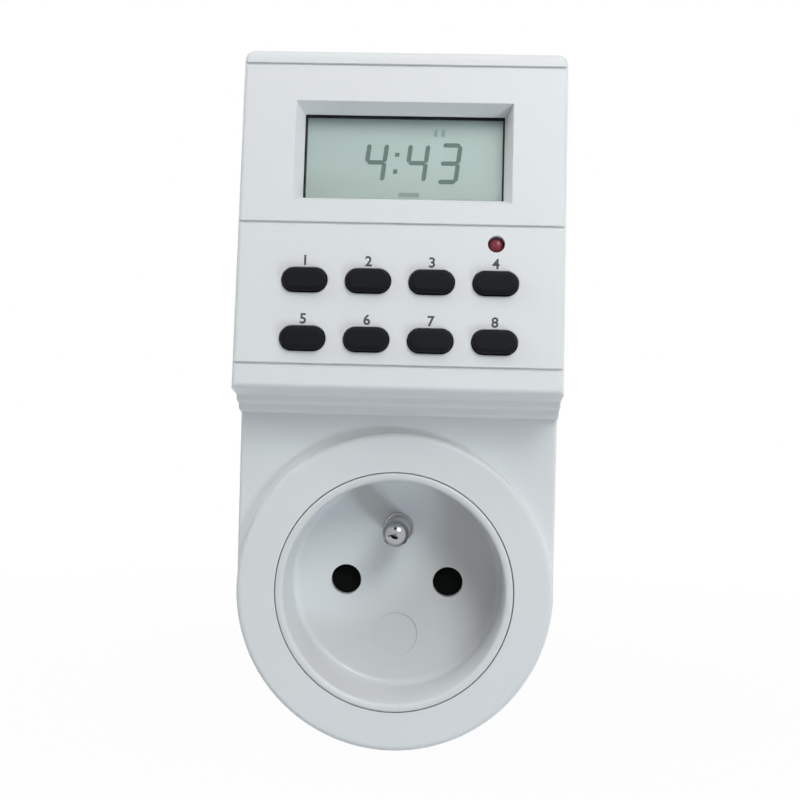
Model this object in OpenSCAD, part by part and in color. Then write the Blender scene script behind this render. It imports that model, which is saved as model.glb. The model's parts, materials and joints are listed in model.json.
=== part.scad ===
// Plug-in timer switch: a wall-plug case that carries a sloping block with a
// display and keys above an earthed socket. The origin is the middle of the
// plug's mating face. +Z runs up the case, the plug pins point to +Y and the
// socket, the keys and the display face -Y. Millimetres.

/* [Body] */
// Width of the case
body_w = 56; // [55:0.5:60]
// Height of the top end above the socket's axis
top_z = 94; // [93:0.5:100]
// Depth of the case from its rear face to the collar round the socket
body_d = 34; // [34:0.5:38]
// Depth of the rear shell, from the rear face to the parting line
rear_shell_d = 12; // [11:0.5:13]
// Wall of both shells
wall = 2; // [1.8:0.1:2.2]
// Rounding of the two top corners
top_corner_r = 2.4; // [2.2:0.1:4]
// Rounding of the rear edge
rear_edge_r = 2.5; // [1:0.25:3]
// Height and depth of the step that draws the parting line
shadow_line = 0.35; // [0.2:0.05:0.5]
// Depth that the front shell's lip reaches into the rear shell
lip_h = 1.8; // [1:0.1:2.5]

/* [Sloping block] */
// Height of the block's lower edge above the socket's axis
block_z = 35.2; // [35:0.05:35.7]
// How far the block's lower edge stands in front of the collar
block_rise = 9.4; // [9:0.1:10]
// Slope of the block's face
face_tilt = 5.8; // [4:0.1:6]
// Height of the upright front of one moulded ledge under the block
ledge_h = 0.93; // [0.8:0.01:1]
// Height of the slope under one ledge
ledge_slope = 0.6; // [0.4:0.05:0.7]
// Step forward of one ledge
ledge_step = 2.2; // [1.6:0.1:2.4]
// Height above the socket's axis where the ledges begin
ledge_z = 30.95; // [30.8:0.05:31.2]
// Rounding of the block's lower edge
block_edge_r = 0.9; // [0.6:0.1:1.2]
// Rounding of the block's top and side edges
face_edge_r = 0.9; // [0.5:0.1:1.2]
// Height of the plain band above the top groove
top_band = 2.6; // [2.4:0.1:3.5]
// Height of the plain band under the bottom groove
foot_band = 4.1; // [3.8:0.1:4.4]
// Width of a groove across the face
groove_w = 0.45; // [0.3:0.05:0.6]
// Depth of a groove across the face
groove_deep = 0.35; // [0.2:0.05:0.5]
// Distance of the middle groove above the lower edge
middle_groove_v = 28.5; // [28.3:0.1:29]

/* [Display] */
// Width of the window where it breaks the face
window_w = 37.4; // [36:0.1:38]
// Height of the window where it breaks the face
window_h = 17.5; // [16.5:0.1:18]
// Plain space between the middle groove and the window
window_gap = 4; // [3.6:0.1:4.4]
// Depth of the window's sloping walls
window_deep = 3.5; // [3:0.1:3.8]
// How far each wall of the window leans in over its depth
window_lean = 1.3; // [1:0.1:1.6]
// Thickness of the clear window
lens_t = 1; // [0.8:0.1:1.2]
// Thickness of the liquid crystal panel
lcd_t = 2.2; // [1.8:0.1:2.4]
// Width of a conductive rubber strip
strip_w = 1.6; // [1.2:0.1:2]
// Wall of the display frame
frame_wall = 1.4; // [1.2:0.1:1.6]

/* [Keys] */
// Width of a key
key_w = 7.5; // [7:0.1:8]
// Height of a key
key_h = 3.95; // [3.8:0.05:4.4]
// Distance of the outer keys' centres from the side of the case
key_side = 11.8; // [11.7:0.1:12]
// Distance between the two rows
key_pitch_v = 10.05; // [9.6:0.05:10.1]
// Height of the lower row above the block's lower edge
key_row_v = 8.55; // [8.3:0.05:8.6]
// How far a key stands out of the face
key_proud = 1.3; // [1.1:0.1:1.6]
// Travel of a key
key_travel = 0.9; // [0.6:0.1:1]
// Gap all round a key in its hole
key_gap = 0.2; // [0.15:0.05:0.3]
// Rim of a key behind the face
key_rim = 0.7; // [0.5:0.05:0.8]
// Thickness of a key's rim
key_rim_t = 0.9; // [0.7:0.1:1]
// Diameter of the reset button
reset_dia = 2.5; // [2:0.1:2.8]
// Height of the reset button above the upper row
reset_up = 6.8; // [6.6:0.1:7]
// How far the reset button lies below the face
reset_sunk = 0.35; // [0.2:0.05:0.5]
// Travel of the reset button
reset_travel = 0.4; // [0.2:0.05:0.45]

/* [Socket] */
// Depth of the recess
recess_d = 15; // [14.5:0.5:16]
// Diameter of the recess
recess_dia = 39; // [38.6:0.1:39.4]
// Wall of the socket cup
cup_wall = 1.4; // [1.2:0.1:1.6]
// Gap between the cup's lip and the collar
seam_gap = 0.15; // [0.1:0.05:0.25]
// How far the cup's lip stands in front of the collar
lip_proud = 0.2; // [0:0.05:0.4]
// Width of the cup's rear flange
flange_w = 3; // [2.5:0.1:3.5]
// Thickness of the cup's floor
cup_floor = 2; // [1.8:0.1:2.4]
// Step between the collar and the lower face beside it
collar_step = 2; // [1.5:0.1:2.4]
// Distance between the two pin centres
pin_pitch = 19; // [19:0.5:19.5]
// Diameter of the two pin holes
hole_dia = 5.6; // [5.4:0.1:5.8]
// Height of the earth pin above the line of the holes
earth_up = 10; // [10:0.25:10.5]
// Diameter of the earth pin
earth_pin_dia = 4.8; // [4.6:0.1:4.9]
// Length of the earth pin above the recess floor
earth_pin_len = 14; // [13:0.5:14]

/* [Plug] */
// Depth of the plug body
boss_d = 17; // [17:0.5:18]
// Diameter of the plug body
boss_dia = 36.4; // [36:0.1:37]
// Thickness of the plug body's end wall
boss_face = 3; // [2.6:0.1:3.2]
// Diameter of a plug pin
plug_pin_dia = 4.8; // [4.7:0.05:4.9]
// Length of a plug pin in front of the mating face
plug_pin_len = 19; // [18.5:0.5:19.5]
// Bore of the rear earth contact
earth_bore = 5; // [4.95:0.05:5.2]
// Width of a side groove of the plug body
side_groove_w = 5.4; // [4.8:0.2:6]
// Depth of a side groove of the plug body
side_groove_deep = 1.5; // [1.2:0.1:1.6]
// Width of the side earth clips
clip_w = 6; // [5.6:0.2:6.4]
// Thickness of the side earth clips
clip_t = 0.8; // [0.6:0.1:0.9]

/* [Inside] */
// Thickness of both circuit boards
board_t = 1.6; // [1.2:0.1:1.6]
// Depth of the logic board behind the face
logic_n = 8.4; // [8.4:0.1:8.8]
// Height of the power board above the rear wall
power_lift = 3; // [2.5:0.25:3.5]
// Distance of the case screws from the side of the case
screw_in = 6; // [6:0.1:6.5]
// Height of the two lower case screws above the socket's axis
screw_low_z = 26; // [25.5:0.25:26.5]
// Depth of a case screw's head below the rear face
screw_sunk = 4; // [3.5:0.25:4.5]
// Length of a case screw's shank
screw_len = 17; // [15:1:18]
// Diameter of a case screw's shank
screw_dia = 2.6; // [2.4:0.1:2.8]
// Thickness of the shutter behind the holes
shutter_t = 2.2; // [2:0.1:2.3]
// Height of the shutter
shutter_h = 7.2; // [7:0.1:7.4]
// Thickness of the contact strip
contact_t = 0.5; // [0.4:0.05:0.6]
// Width of the contact strip
contact_w = 5; // [4.5:0.25:5.5]
// Diameter of an insulated wire
wire_dia = 1.8; // [1.4:0.1:2]

/* [Pieces on the boards] */
// Width, height and depth of the relay
relay_w = 15; // [13:0.1:16]
relay_h = 18.6; // [17:0.1:19]
relay_d = 15.5; // [12:0.1:16]
// Width, height and depth of the mains capacitor
film_w = 8.5; // [7:0.1:9]
film_h = 18; // [16:0.1:18.5]
film_d = 14; // [12:0.1:15]
// Diameter and length of the smoothing capacitor
can_dia = 8; // [6:0.1:8.4]
can_len = 12; // [10:0.1:14]
// Diameter and thickness of the varistor
disc_dia = 10; // [8:0.1:10.4]
disc_t = 3.6; // [3:0.1:4]
// Diameter and length of the dropper resistor
resistor_dia = 4; // [3.4:0.1:4.2]
resistor_len = 10; // [8:0.1:11]
// Diameter, length and spacing of the rectifier diodes
diode_dia = 2.6; // [2.4:0.1:2.8]
diode_len = 5; // [4.4:0.1:5.2]
diode_pitch = 3.6; // [3.4:0.1:3.8]
// Diameter and thickness of the backup cell
cell_dia = 12; // [10:0.1:12.5]
cell_t = 5; // [3:0.1:5.4]
// Diameter and height of the resin drop over the controller
drop_dia = 12; // [10:0.1:13]
drop_h = 1.6; // [1.2:0.1:2]
// Diameter and length of the clock crystal
crystal_dia = 2; // [1.8:0.1:2.2]
crystal_len = 6; // [5.6:0.1:6.4]
// Width of the ribbon between the boards
ribbon_w = 10; // [8:0.1:11]
// Thickness of the ribbon
ribbon_t = 0.8; // [0.6:0.1:1]

/* [Back] */
// Width of the bare sunk panel on the back
panel_w = 34; // [30:0.5:34]
// Height of the bare sunk panel on the back
panel_h = 40; // [30:0.5:42]
// Depth of the bare sunk panel
panel_deep = 0.4; // [0.35:0.05:0.5]
// Thickness of the bare rating plate in the panel
plate_t = 0.3; // [0.2:0.05:0.3]
// Radius of the moulding mark on the recess floor
gate_r = 4; // [3:0.1:5]
// Depth of the moulding mark
gate_deep = 0.12; // [0.08:0.02:0.2]

/* [Hidden] */
$fn = 64;
arc_steps = 6;
run_gap = 0.2;      // clearance between a moving piece and its guide
seat_gap = 0.1;     // clearance of a piece in its pocket
over = 1;           // how far a cut runs past the face that it opens

half_w = body_w / 2;
rear_f = boss_d;
part_f = rear_f + rear_shell_d;
collar_f = rear_f + body_d;
low_f = collar_f - collar_step;
block_f = collar_f + block_rise;
floor_f = collar_f - recess_d;
collar_inset = 0.15;
collar_edge_r = 1;
low_edge_r = 0.7;

ledge_pitch = ledge_h + ledge_slope;
ledge_lean = 0.4;   // how far the front of a ledge leans forward over its height
face_len = (top_z - block_z) / cos(face_tilt);
top_groove_v = face_len - top_band;
window_v = middle_groove_v + window_gap + window_h / 2;
lens_lap = 0.8;     // how far the clear window runs behind each wall
lens_w = window_w - 2 * (window_lean - lens_lap);
lens_h = window_h - 2 * (window_lean - lens_lap);
surround = 1.5;     // plastic round the window behind the face
frame_n = window_deep + lens_t;
lcd_n = frame_n + seat_gap;

key_cols = 4;
key_rows = 2;
key_count = key_cols * key_rows;
key_pitch_x = (body_w - 2 * key_side) / (key_cols - 1);
key_r = key_h / 2 - 0.05;
key_edge_r = 0.7;
key_arc_steps = 8;
key_stem_w = 5.4;
key_stem_h = 2.4;
key_pad_gap = key_travel + 0.2;
mat_t = 1;
mat_rim = 1.2;
reset_x = key_pitch_x * (key_cols - 1) / 2;
reset_v = key_row_v + key_pitch_v + reset_up;
reset_rim_dia = reset_dia + 1.5;
switch_top = 2;     // height of the tact switch and its plunger

cup_r = recess_dia / 2 + cup_wall;
seat_f = low_f - wall;
flange_t = 1.6;

boss_r = boss_dia / 2;
panel_up = (boss_r + top_z) / 2;
panel_r = 2;
plate_gap = 0.4;
plate_glue = 0.03;  // film of glue behind the rating plate
boss_in_r = boss_r - 2.6;
clip_z = boss_r - 1.3;
bar_f = boss_d - 1.8;
earth_tube_wall = 0.7;
pin_x = pin_pitch / 2;
pin_tail_f = boss_face + 5;
tail_r = 1.5;
shank_step = 0.3;   // how much thicker a pin is inside its plastic

shutter_travel = hole_dia / 2 + shutter_h / 2 + 0.2;
shutter_w = pin_pitch + 7;
shutter_back_f = floor_f - cup_floor - run_gap - shutter_t;
block_front_f = shutter_back_f - run_gap;
rail_t = 1.5;
spring_seat_z = -shutter_h / 2 - 13;
stop_t = 1.2;
spring_dia = 1.7;
spring_wire = 0.3;
contact_top_f = block_front_f - 0.9;
contact_web_f = boss_d - 2.5;
contact_grip = 2.3;
contact_root = 3;
contact_flare = 3.3;

screw_x = half_w - screw_in;
screw_top_z = top_z - 6.2;
screw_head_dia = 5.2;
screw_head_h = 2;
rear_post_r = 3.6;
front_post_r = 3.2;
board_post_r = 2;
board_screw_dia = 1.8;
board_screw_len = 5;
board_head_dia = 3.6;
board_head_h = 1.2;
logic_post_low = [half_w - 4.8, key_row_v + key_pitch_v / 2];
logic_post_top = [14, window_v + window_h / 2 + surround + board_post_r + 0.6];
logic_half_w = half_w - 2.8;
logic_low_v = 4.5;
logic_top_v = logic_post_top[1] + board_post_r;

power_f = rear_f + wall + power_lift;
power_low_z = 33;
power_top_z = screw_top_z - rear_post_r - 0.4;
power_half_w = half_w - 4;
power_front_f = power_f + board_t;
power_post = [half_w - 8, 4];

// ---- Frames -----------------------------------------------------------------

// x to the right, y up the case, z forward from the plug's mating face
module front() {
    rotate([90, 0, 0]) children();
}

// x to the right, y up the sloping face, z out of it; origin on the lower edge
module on_face() {
    front() translate([0, block_z, block_f]) rotate([-face_tilt, 0, 0]) children();
}

// A profile of (up, forward) points drawn right across a width
module across(width) {
    rotate([90, 0, 90]) linear_extrude(width, center = true) children();
}

// A flat shape between two forward distances
module slab(from_f, to_f) {
    translate([0, 0, from_f]) linear_extrude(to_f - from_f) children();
}

module mirrored() {
    children();
    mirror([1, 0, 0]) children();
}

// ---- Rounded outlines -------------------------------------------------------

function unit(v) = v / norm(v);

function xy(p) = [p[0], p[1]];

function turn(a) = a > 180 ? a - 360 : a < -180 ? a + 360 : a;

// Points of the arc of radius r that rounds corner k between a and b
function corner(a, k, b, r, n) =
    let (
        u = unit(a - k),
        w = unit(b - k),
        half = acos(u * w) / 2,
        c = k + unit(u + w) * r / sin(half),
        d1 = k + u * r / tan(half) - c,
        d2 = k + w * r / tan(half) - c,
        a1 = atan2(d1[1], d1[0]),
        sweep = turn(atan2(d2[1], d2[0]) - a1)
    )
    [for (i = [0:n]) c + r * [cos(a1 + sweep * i / n), sin(a1 + sweep * i / n)]];

// An outline of [x, y, radius] corners as plain points
function rounded(p, n = arc_steps) =
    let (last = len(p) - 1)
    [for (i = [0:last])
        each p[i][2] > 0
            ? corner(xy(p[i == 0 ? last : i - 1]), xy(p[i]), xy(p[i == last ? 0 : i + 1]), p[i][2], n)
            : [xy(p[i])]];

module rounded_box(w, h, r, n = arc_steps) {
    polygon(rounded([[-w / 2, -h / 2, r], [w / 2, -h / 2, r], [w / 2, h / 2, r], [-w / 2, h / 2, r]], n));
}

// Front view of the case, inset by d, with its round lower end
module case_outline(d, r = top_corner_r) {
    polygon(rounded([
        [-half_w + d, 0, 0], [half_w - d, 0, 0], [half_w - d, top_z - d, r], [-half_w + d, top_z - d, r]
    ]));
    difference() {
        circle(half_w - d, $fn = 128);
        translate([-body_w, 0]) square([2 * body_w, body_w]);
    }
}

// ---- Tubes ------------------------------------------------------------------

// Cuts the corners of a route n times
function smooth(p, n) =
    n == 0 ? p : smooth(
        concat([p[0]], [for (i = [0:len(p) - 2]) each [0.75 * p[i] + 0.25 * p[i + 1], 0.25 * p[i] + 0.75 * p[i + 1]]],
            [p[len(p) - 1]]), n - 1);

// A round tube along a route; side is a direction that the route never takes
module tube(p, r, side, sides = 8) {
    last = len(p) - 1;
    rings = [for (i = [0:last])
        let (
            t = unit(p[min(i + 1, last)] - p[max(i - 1, 0)]),
            u = unit(cross(side, t)),
            w = cross(t, u)
        )
        each [for (k = [0:sides - 1]) p[i] + r * (u * cos(360 * k / sides) + w * sin(360 * k / sides))]];
    walls = [for (i = [0:last - 1]) for (k = [0:sides - 1])
        let (m = (k + 1) % sides)
        [i * sides + k, (i + 1) * sides + k, (i + 1) * sides + m, i * sides + m]];
    ends = [[for (k = [0:sides - 1]) k], [for (k = [sides - 1:-1:0]) last * sides + k]];
    polyhedron(rings, concat(walls, ends));
}

// ---- Front housing ----------------------------------------------------------

// Forward distance of the sloping face, moved inwards by d, at a height
function face_f(up, d = 0) = block_f - (up - block_z) * tan(face_tilt) - d / cos(face_tilt);

// Side view of the block with its ledges, moved inwards by d
function block_side(d, back_f) = [
    [ledge_z + d, back_f, 0],
    [ledge_z + d, low_f - d, 0],
    [ledge_z + ledge_slope + d, low_f + ledge_step - d, 0.2],
    [ledge_z + ledge_pitch + d, low_f + ledge_step + ledge_lean - d, 0],
    [ledge_z + ledge_pitch + ledge_slope + d, low_f + 2 * ledge_step + ledge_lean - d, 0.2],
    [ledge_z + 2 * ledge_pitch + d, low_f + 2 * (ledge_step + ledge_lean) - d, 0],
    [block_z + d, face_f(block_z + d, d), d > 0 ? 0.4 : block_edge_r],
    [top_z - d, face_f(top_z - d, d), d > 0 ? 0.4 : face_edge_r + 0.6],
    [top_z - d, back_f, 0]
];

// What rounds an edge: everything outside an arc of radius r at a square corner
module edge_waste(r) {
    polygon(concat([[-r, over], [over, over], [over, -r]], [for (i = [0:arc_steps])
        let (a = 90 * i / arc_steps) [r * cos(a) - r, r * sin(a) - r]]));
}

module lower_body() {
    difference() {
        slab(part_f, low_f) case_outline(0);
        mirrored() translate([half_w, ledge_z + 1, low_f]) rotate([90, 0, 0])
            linear_extrude(ledge_z + 1) edge_waste(low_edge_r);
    }
}

module collar_disc() {
    r = half_w - collar_inset;
    rotate_extrude($fn = 128)
        polygon(rounded([[0, low_f - wall, 0], [r, low_f - wall, 0], [r, collar_f, collar_edge_r], [0, collar_f, 0]]));
}

module sloping_block() {
    intersection() {
        across(body_w + over) polygon(rounded(block_side(0, part_f)));
        slab(part_f, block_f + over) case_outline(0);
    }
}

module block_edge_cuts() {
    mirrored() translate([half_w, face_len + over, 0]) rotate([90, 0, 0])
        linear_extrude(face_len + 3) edge_waste(face_edge_r);
}

// Closed wedge-sided space; w and h are its size at the face
module window_space(w, h, deep, lean) {
    intersection() {
        rotate([90, 0, 0]) linear_extrude(h + 2, center = true)
            polygon([[-w / 2 + lean, -deep], [w / 2 - lean, -deep], [w / 2 + lean / deep, 1], [-w / 2 - lean / deep, 1]]);
        across(w + 2)
            polygon([[-h / 2 + lean, -deep], [h / 2 - lean, -deep], [h / 2 + lean / deep, 1], [-h / 2 - lean / deep, 1]]);
    }
}

function key_place(k) = [
    key_pitch_x * (k % key_cols - (key_cols - 1) / 2),
    key_row_v + key_pitch_v * (key_rows - 1 - floor(k / key_cols))
];

module key_shape(grow) {
    rounded_box(key_w + 2 * grow, key_h + 2 * grow, key_r + grow, 8);
}

module face_cuts() {
    for (v = [foot_band, middle_groove_v, top_groove_v])
        translate([-half_w - over, v - groove_w / 2, -groove_deep]) cube([body_w + 2 * over, groove_w, over]);
    translate([0, window_v, 0]) window_space(window_w, window_h, window_deep, window_lean);
    translate([0, window_v, -window_deep - 3]) linear_extrude(3)
        square([lens_w + 2 * seat_gap, lens_h + 2 * seat_gap], center = true);
    for (k = [0:key_count - 1])
        translate([key_place(k)[0], key_place(k)[1], -wall - over]) linear_extrude(wall + 2 * over)
            key_shape(key_gap);
    translate([reset_x, reset_v, -wall - over]) cylinder(wall + 2 * over, r = reset_dia / 2 + key_gap);
}

module window_surround() {
    translate([0, window_v, -frame_n]) linear_extrude(frame_n - wall / 2)
        square([window_w + 2 * surround, window_h + 2 * surround], center = true);
}

module logic_posts() {
    mirrored() for (p = [logic_post_low, logic_post_top])
        translate([p[0], p[1], -logic_n]) cylinder(logic_n - wall / 2, r = board_post_r);
}

module screw_places() {
    mirrored() for (up = [screw_low_z, screw_top_z]) translate([screw_x, up, 0]) children();
}

module front_posts() {
    intersection() {
        screw_places() translate([0, 0, part_f]) cylinder(block_f - part_f, r = front_post_r);
        union() {
            slab(part_f, low_f - wall / 2) case_outline(wall / 2);
            across(body_w) polygon(rounded(block_side(wall / 2, part_f)));
        }
    }
}

module front_shell() {
    difference() {
        union() {
            lower_body();
            collar_disc();
            difference() {
                sloping_block();
                translate([0, block_z, block_f]) rotate([-face_tilt, 0, 0]) block_edge_cuts();
            }
        }
        slab(part_f - over, low_f - wall) case_outline(wall, 1);
        intersection() {
            across(body_w - 2 * wall) polygon(rounded(block_side(wall, part_f)));
            slab(part_f, block_f) case_outline(wall, 1);
        }
    }
}

module front_housing() {
    color("whitesmoke") front() {
        difference() {
            union() {
                front_shell();
                front_posts();
                translate([0, block_z, block_f]) rotate([-face_tilt, 0, 0]) {
                    window_surround();
                    logic_posts();
                }
                difference() {
                    slab(part_f - lip_h, part_f + over) case_outline(wall / 2 + seat_gap, 1.4);
                    slab(part_f - lip_h - over, part_f + 2 * over) case_outline(wall, 1);
                }
            }
            translate([0, block_z, block_f]) rotate([-face_tilt, 0, 0]) {
                face_cuts();
                mirrored() for (p = [logic_post_low, logic_post_top])
                    translate([p[0], p[1], -logic_n - over])
                        cylinder(board_screw_len + over, r = board_screw_dia / 2 + 0.05);
            }
            translate([0, 0, seat_f - over]) cylinder(collar_f - seat_f + 2 * over, r = cup_r + seam_gap, $fn = 128);
            screw_places() translate([0, 0, part_f - over])
                cylinder(screw_len - (part_f - screw_seat_f()) + 2 * over, r = screw_dia / 2 + 0.05);
        }
    }
}

// ---- Rear housing -----------------------------------------------------------

function screw_seat_f() = rear_f + screw_sunk + screw_head_h;

module rear_outer() {
    top_f = part_f - shadow_line;
    section = [[half_w, top_f, 0], [half_w, rear_f, rear_edge_r]];
    intersection() {
        drawn_up(top_z)
            polygon(rounded([section[0], section[1], [-half_w, rear_f, rear_edge_r], [-half_w, top_f, 0]]));
        across(body_w + over)
            polygon(rounded([[-over, top_f, 0], [-over, rear_f, 0], [top_z, rear_f, rear_edge_r], [top_z, top_f, 0]]));
        slab(rear_f, part_f) case_outline(0);
    }
    rotate([0, 0, 180]) rotate_extrude(angle = 180, $fn = 128)
        polygon(rounded([[0, top_f, 0], section[0], section[1], [0, rear_f, 0]]));
    slab(top_f, part_f) case_outline(shadow_line);
}

// A plan section of (x, forward) points drawn up from the socket's axis
module drawn_up(height) {
    rotate([-90, 0, 0]) mirror([0, 1, 0]) linear_extrude(height) children();
}

module plug_body() {
    rotate_extrude($fn = 128)
        polygon(rounded([[0, 0, 0], [boss_r, 0, 1.5], [boss_r, rear_f + wall / 2, 0], [0, rear_f + wall / 2, 0]]));
}

module plug_body_cuts() {
    translate([0, 0, boss_face]) cylinder(boss_d + wall, r = boss_in_r, $fn = 128);
    for (side = [-1, 1]) translate([side * (boss_r - side_groove_deep + 2), 0, boss_d / 2 - over / 2])
        cube([4, side_groove_w, boss_d + over], center = true);
    for (side = [-1, 1]) {
        translate([0, side * (clip_z - run_gap + 2), bar_f / 2]) cube([clip_w + 0.6, 4, bar_f + 3], center = true);
        translate([0, side * clip_z, bar_f + clip_t / 2]) cube([clip_w + 0.6, 5, clip_t + 0.6], center = true);
    }
    mirrored() translate([pin_x, 0, -over])
        cylinder(boss_face + 2 * over, r = plug_pin_dia / 2 + shank_step + 0.05);
    translate([0, earth_up, -over])
        cylinder(boss_face + 2 * over, r = earth_bore / 2 + earth_tube_wall + 0.05);
}

module rear_housing() {
    color("whitesmoke") front() {
        difference() {
            union() {
                difference() {
                    union() {
                        rear_outer();
                        plug_body();
                    }
                    slab(rear_f + wall, part_f + over) case_outline(wall, 1);
                    slab(part_f - lip_h - seat_gap, part_f + over) case_outline(wall / 2, 1.5);
                }
                screw_places() translate([0, 0, rear_f + wall / 2]) cylinder(part_f - rear_f - wall / 2, r = rear_post_r);
                power_posts() translate([0, 0, rear_f + wall / 2]) cylinder(power_f - rear_f - wall / 2, r = board_post_r);
            }
            plug_body_cuts();
            translate([0, panel_up, rear_f - over]) linear_extrude(over + panel_deep)
                rounded_box(panel_w, panel_h, panel_r);
            screw_places() {
                translate([0, 0, rear_f - over]) cylinder(screw_seat_f() - rear_f + over, r = screw_head_dia / 2 + 0.2);
                translate([0, 0, rear_f - over]) cylinder(rear_shell_d + 2 * over, r = screw_dia / 2 + 0.3);
            }
            power_posts() translate([0, 0, power_f - board_screw_len + board_t])
                cylinder(board_screw_len, r = board_screw_dia / 2 + 0.05);
        }
    }
}

module rating_plate() {
    color("silver") front() translate([0, panel_up, rear_f + panel_deep - plate_glue - plate_t]) linear_extrude(plate_t)
        rounded_box(panel_w - 2 * plate_gap, panel_h - 2 * plate_gap, panel_r - plate_gap);
}

module power_posts() {
    mirrored() for (up = [power_low_z + power_post[1], power_top_z - power_post[1]])
        translate([power_post[0], up, 0]) children();
}

// ---- Socket -----------------------------------------------------------------

module socket_cup() {
    mouth_r = recess_dia / 2;
    back_f = floor_f - cup_floor;
    color("white") front() difference() {
        rotate_extrude($fn = 128) polygon(rounded([
            [0, back_f, 0], [cup_r, back_f, 1], [cup_r, seat_f - flange_t, 0],
            [cup_r + flange_w, seat_f - flange_t, 0], [cup_r + flange_w, seat_f, 0], [cup_r, seat_f, 0],
            [cup_r, collar_f + lip_proud, 0.35], [mouth_r, collar_f + lip_proud, 0.7],
            [mouth_r, floor_f, 1.2], [0, floor_f, 0]
        ]));
        mirrored() translate([pin_x, 0, back_f - over]) cylinder(cup_floor + 2 * over, r = hole_dia / 2);
        translate([0, earth_up, back_f - over])
            cylinder(cup_floor + 2 * over, r = earth_pin_dia / 2 + shank_step + 0.05);
        translate([0, -earth_up, floor_f - gate_deep]) cylinder(over, r = gate_r);
    }
}

module front_earth_pin() {
    r = earth_pin_dia / 2;
    back_f = floor_f - cup_floor;
    tip_f = floor_f + earth_pin_len;
    color("silver") front() translate([0, earth_up, 0]) rotate_extrude() polygon(rounded([
        [0, bar_f + clip_t, 0], [tail_r, bar_f + clip_t, 0], [tail_r, back_f - 1, 0], [r + 1.1, back_f - 1, 0],
        [r + 1.1, back_f, 0], [r + shank_step, back_f, 0], [r + shank_step, floor_f, 0], [r, floor_f, 0],
        [r, tip_f, r - 0.3], [0, tip_f, 0]
    ]));
}

module safety_shutter() {
    back = shutter_back_f;
    color("dimgray") front() difference() {
        across(shutter_w) polygon([
            [-shutter_h / 2, back], [shutter_h / 2, back], [shutter_h / 2, back + 0.8], [-shutter_h / 2, back + shutter_t]
        ]);
        translate([0, 0, back + shutter_t]) cube([pin_pitch - hole_dia - 2, shutter_h + over, 1.2], center = true);
    }
}

module shutter_spring() {
    turns = 9;
    steps = 10;
    r = (spring_dia - spring_wire) / 2;
    low = spring_seat_z + spring_wire / 2;
    length = -shutter_h / 2 - spring_seat_z - spring_wire - 0.1;
    color("silver") front() translate([0, 0, shutter_back_f + shutter_t / 2]) tube(
        [for (i = [0:turns * steps])
            [r * cos(360 * i / steps), low + length * i / (turns * steps), r * sin(360 * i / steps)]],
        spring_wire / 2, [0, 1, 0], 6);
}

// Inner side of one leaf of a spring contact, as (up, forward) points
function leaf_line() = [
    [contact_root, contact_web_f], [contact_root, boss_d + 4],
    [contact_grip, contact_top_f - 4.5], [contact_flare - contact_t, contact_top_f]
];

// A bent strip of thickness t: two like legs, with p as the inner line of one of
// them from the bar to its free end, and a bar across with its inner face at bar_in
module stirrup(p, t, bar_in) {
    last = len(p) - 1;
    polygon(concat(
        [for (i = [last:-1:0]) [p[i][0] + t, p[i][1]]],
        [for (i = [0:last]) [-p[i][0] - t, p[i][1]]],
        [for (i = [last:-1:1]) [-p[i][0], p[i][1]]],
        [[-p[0][0], bar_in], [p[0][0], bar_in]],
        [for (i = [1:last]) p[i]]
    ));
}

module spring_contact(x) {
    color("goldenrod") front() translate([x, 0, 0]) across(contact_w)
        stirrup(leaf_line(), contact_t, contact_web_f + contact_t);
}

module live_contact() {
    spring_contact(-pin_x);
}

module neutral_contact() {
    spring_contact(pin_x);
}

module contact_block() {
    back_f = rear_f + wall;
    w = shutter_w + 2 * (rail_t + run_gap);
    low = spring_seat_z - stop_t;
    high = earth_up - tail_r - 1.8;
    rail_f = floor_f - cup_floor;
    pocket_h = 2 * (contact_root + contact_t + seat_gap);
    color("gray") front() difference() {
        union() {
            translate([-w / 2, low, back_f]) cube([w, high - low, block_front_f - back_f]);
            mirrored() translate([shutter_w / 2 + run_gap, low, back_f]) cube([rail_t, high - 1.5 - low, rail_f - back_f]);
            translate([-4, low, back_f]) cube([8, stop_t, rail_f - back_f]);
        }
        mirrored() translate([pin_x, 0, back_f]) cube([contact_w + 0.6, pocket_h, 3 * boss_d], center = true);
    }
}

// ---- Plug -------------------------------------------------------------------

module plug_pin(x) {
    r = plug_pin_dia / 2;
    color("silver") front() translate([x, 0, 0]) rotate_extrude() polygon(rounded([
        [0, -plug_pin_len, 0], [r, -plug_pin_len, r - 0.4], [r, 0, 0], [r + shank_step, 0, 0],
        [r + shank_step, boss_face, 0], [r + 1.2, boss_face, 0], [r + 1.2, boss_face + 1.2, 0],
        [tail_r, boss_face + 1.2, 0], [tail_r, pin_tail_f, 0], [0, pin_tail_f, 0]
    ]));
}

module live_plug_pin() {
    plug_pin(-pin_x);
}

module neutral_plug_pin() {
    plug_pin(pin_x);
}

module rear_earth_contact() {
    color("gold") front() translate([0, earth_up, 0]) difference() {
        translate([0, 0, 0.6]) cylinder(bar_f - 0.6, r = earth_bore / 2 + earth_tube_wall);
        translate([0, 0, 0.6 - over]) cylinder(bar_f - 0.6, r = earth_bore / 2);
    }
}

// One leg of the earth stirrup, from the bar to its free end in the groove
function clip_leg() = [
    [clip_z, bar_f + clip_t], [clip_z, 11], [clip_z + 0.5, 8], [clip_z + 0.3, 5], [clip_z, 2.2]
];

module earth_clips() {
    color("silver") front() across(clip_w) stirrup(clip_leg(), clip_t, bar_f);
}

module neutral_bus() {
    low = pin_tail_f;
    high = contact_web_f;
    t = 0.8;
    color("goldenrod") front() translate([pin_x, 0, 0]) across(4) polygon([
        [-2.2, low], [2.6, low], [2.6, high], [-2.2, high], [-2.2, high - t], [2.6 - t, high - t], [2.6 - t, low + t],
        [-2.2, low + t]
    ]);
}

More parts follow.
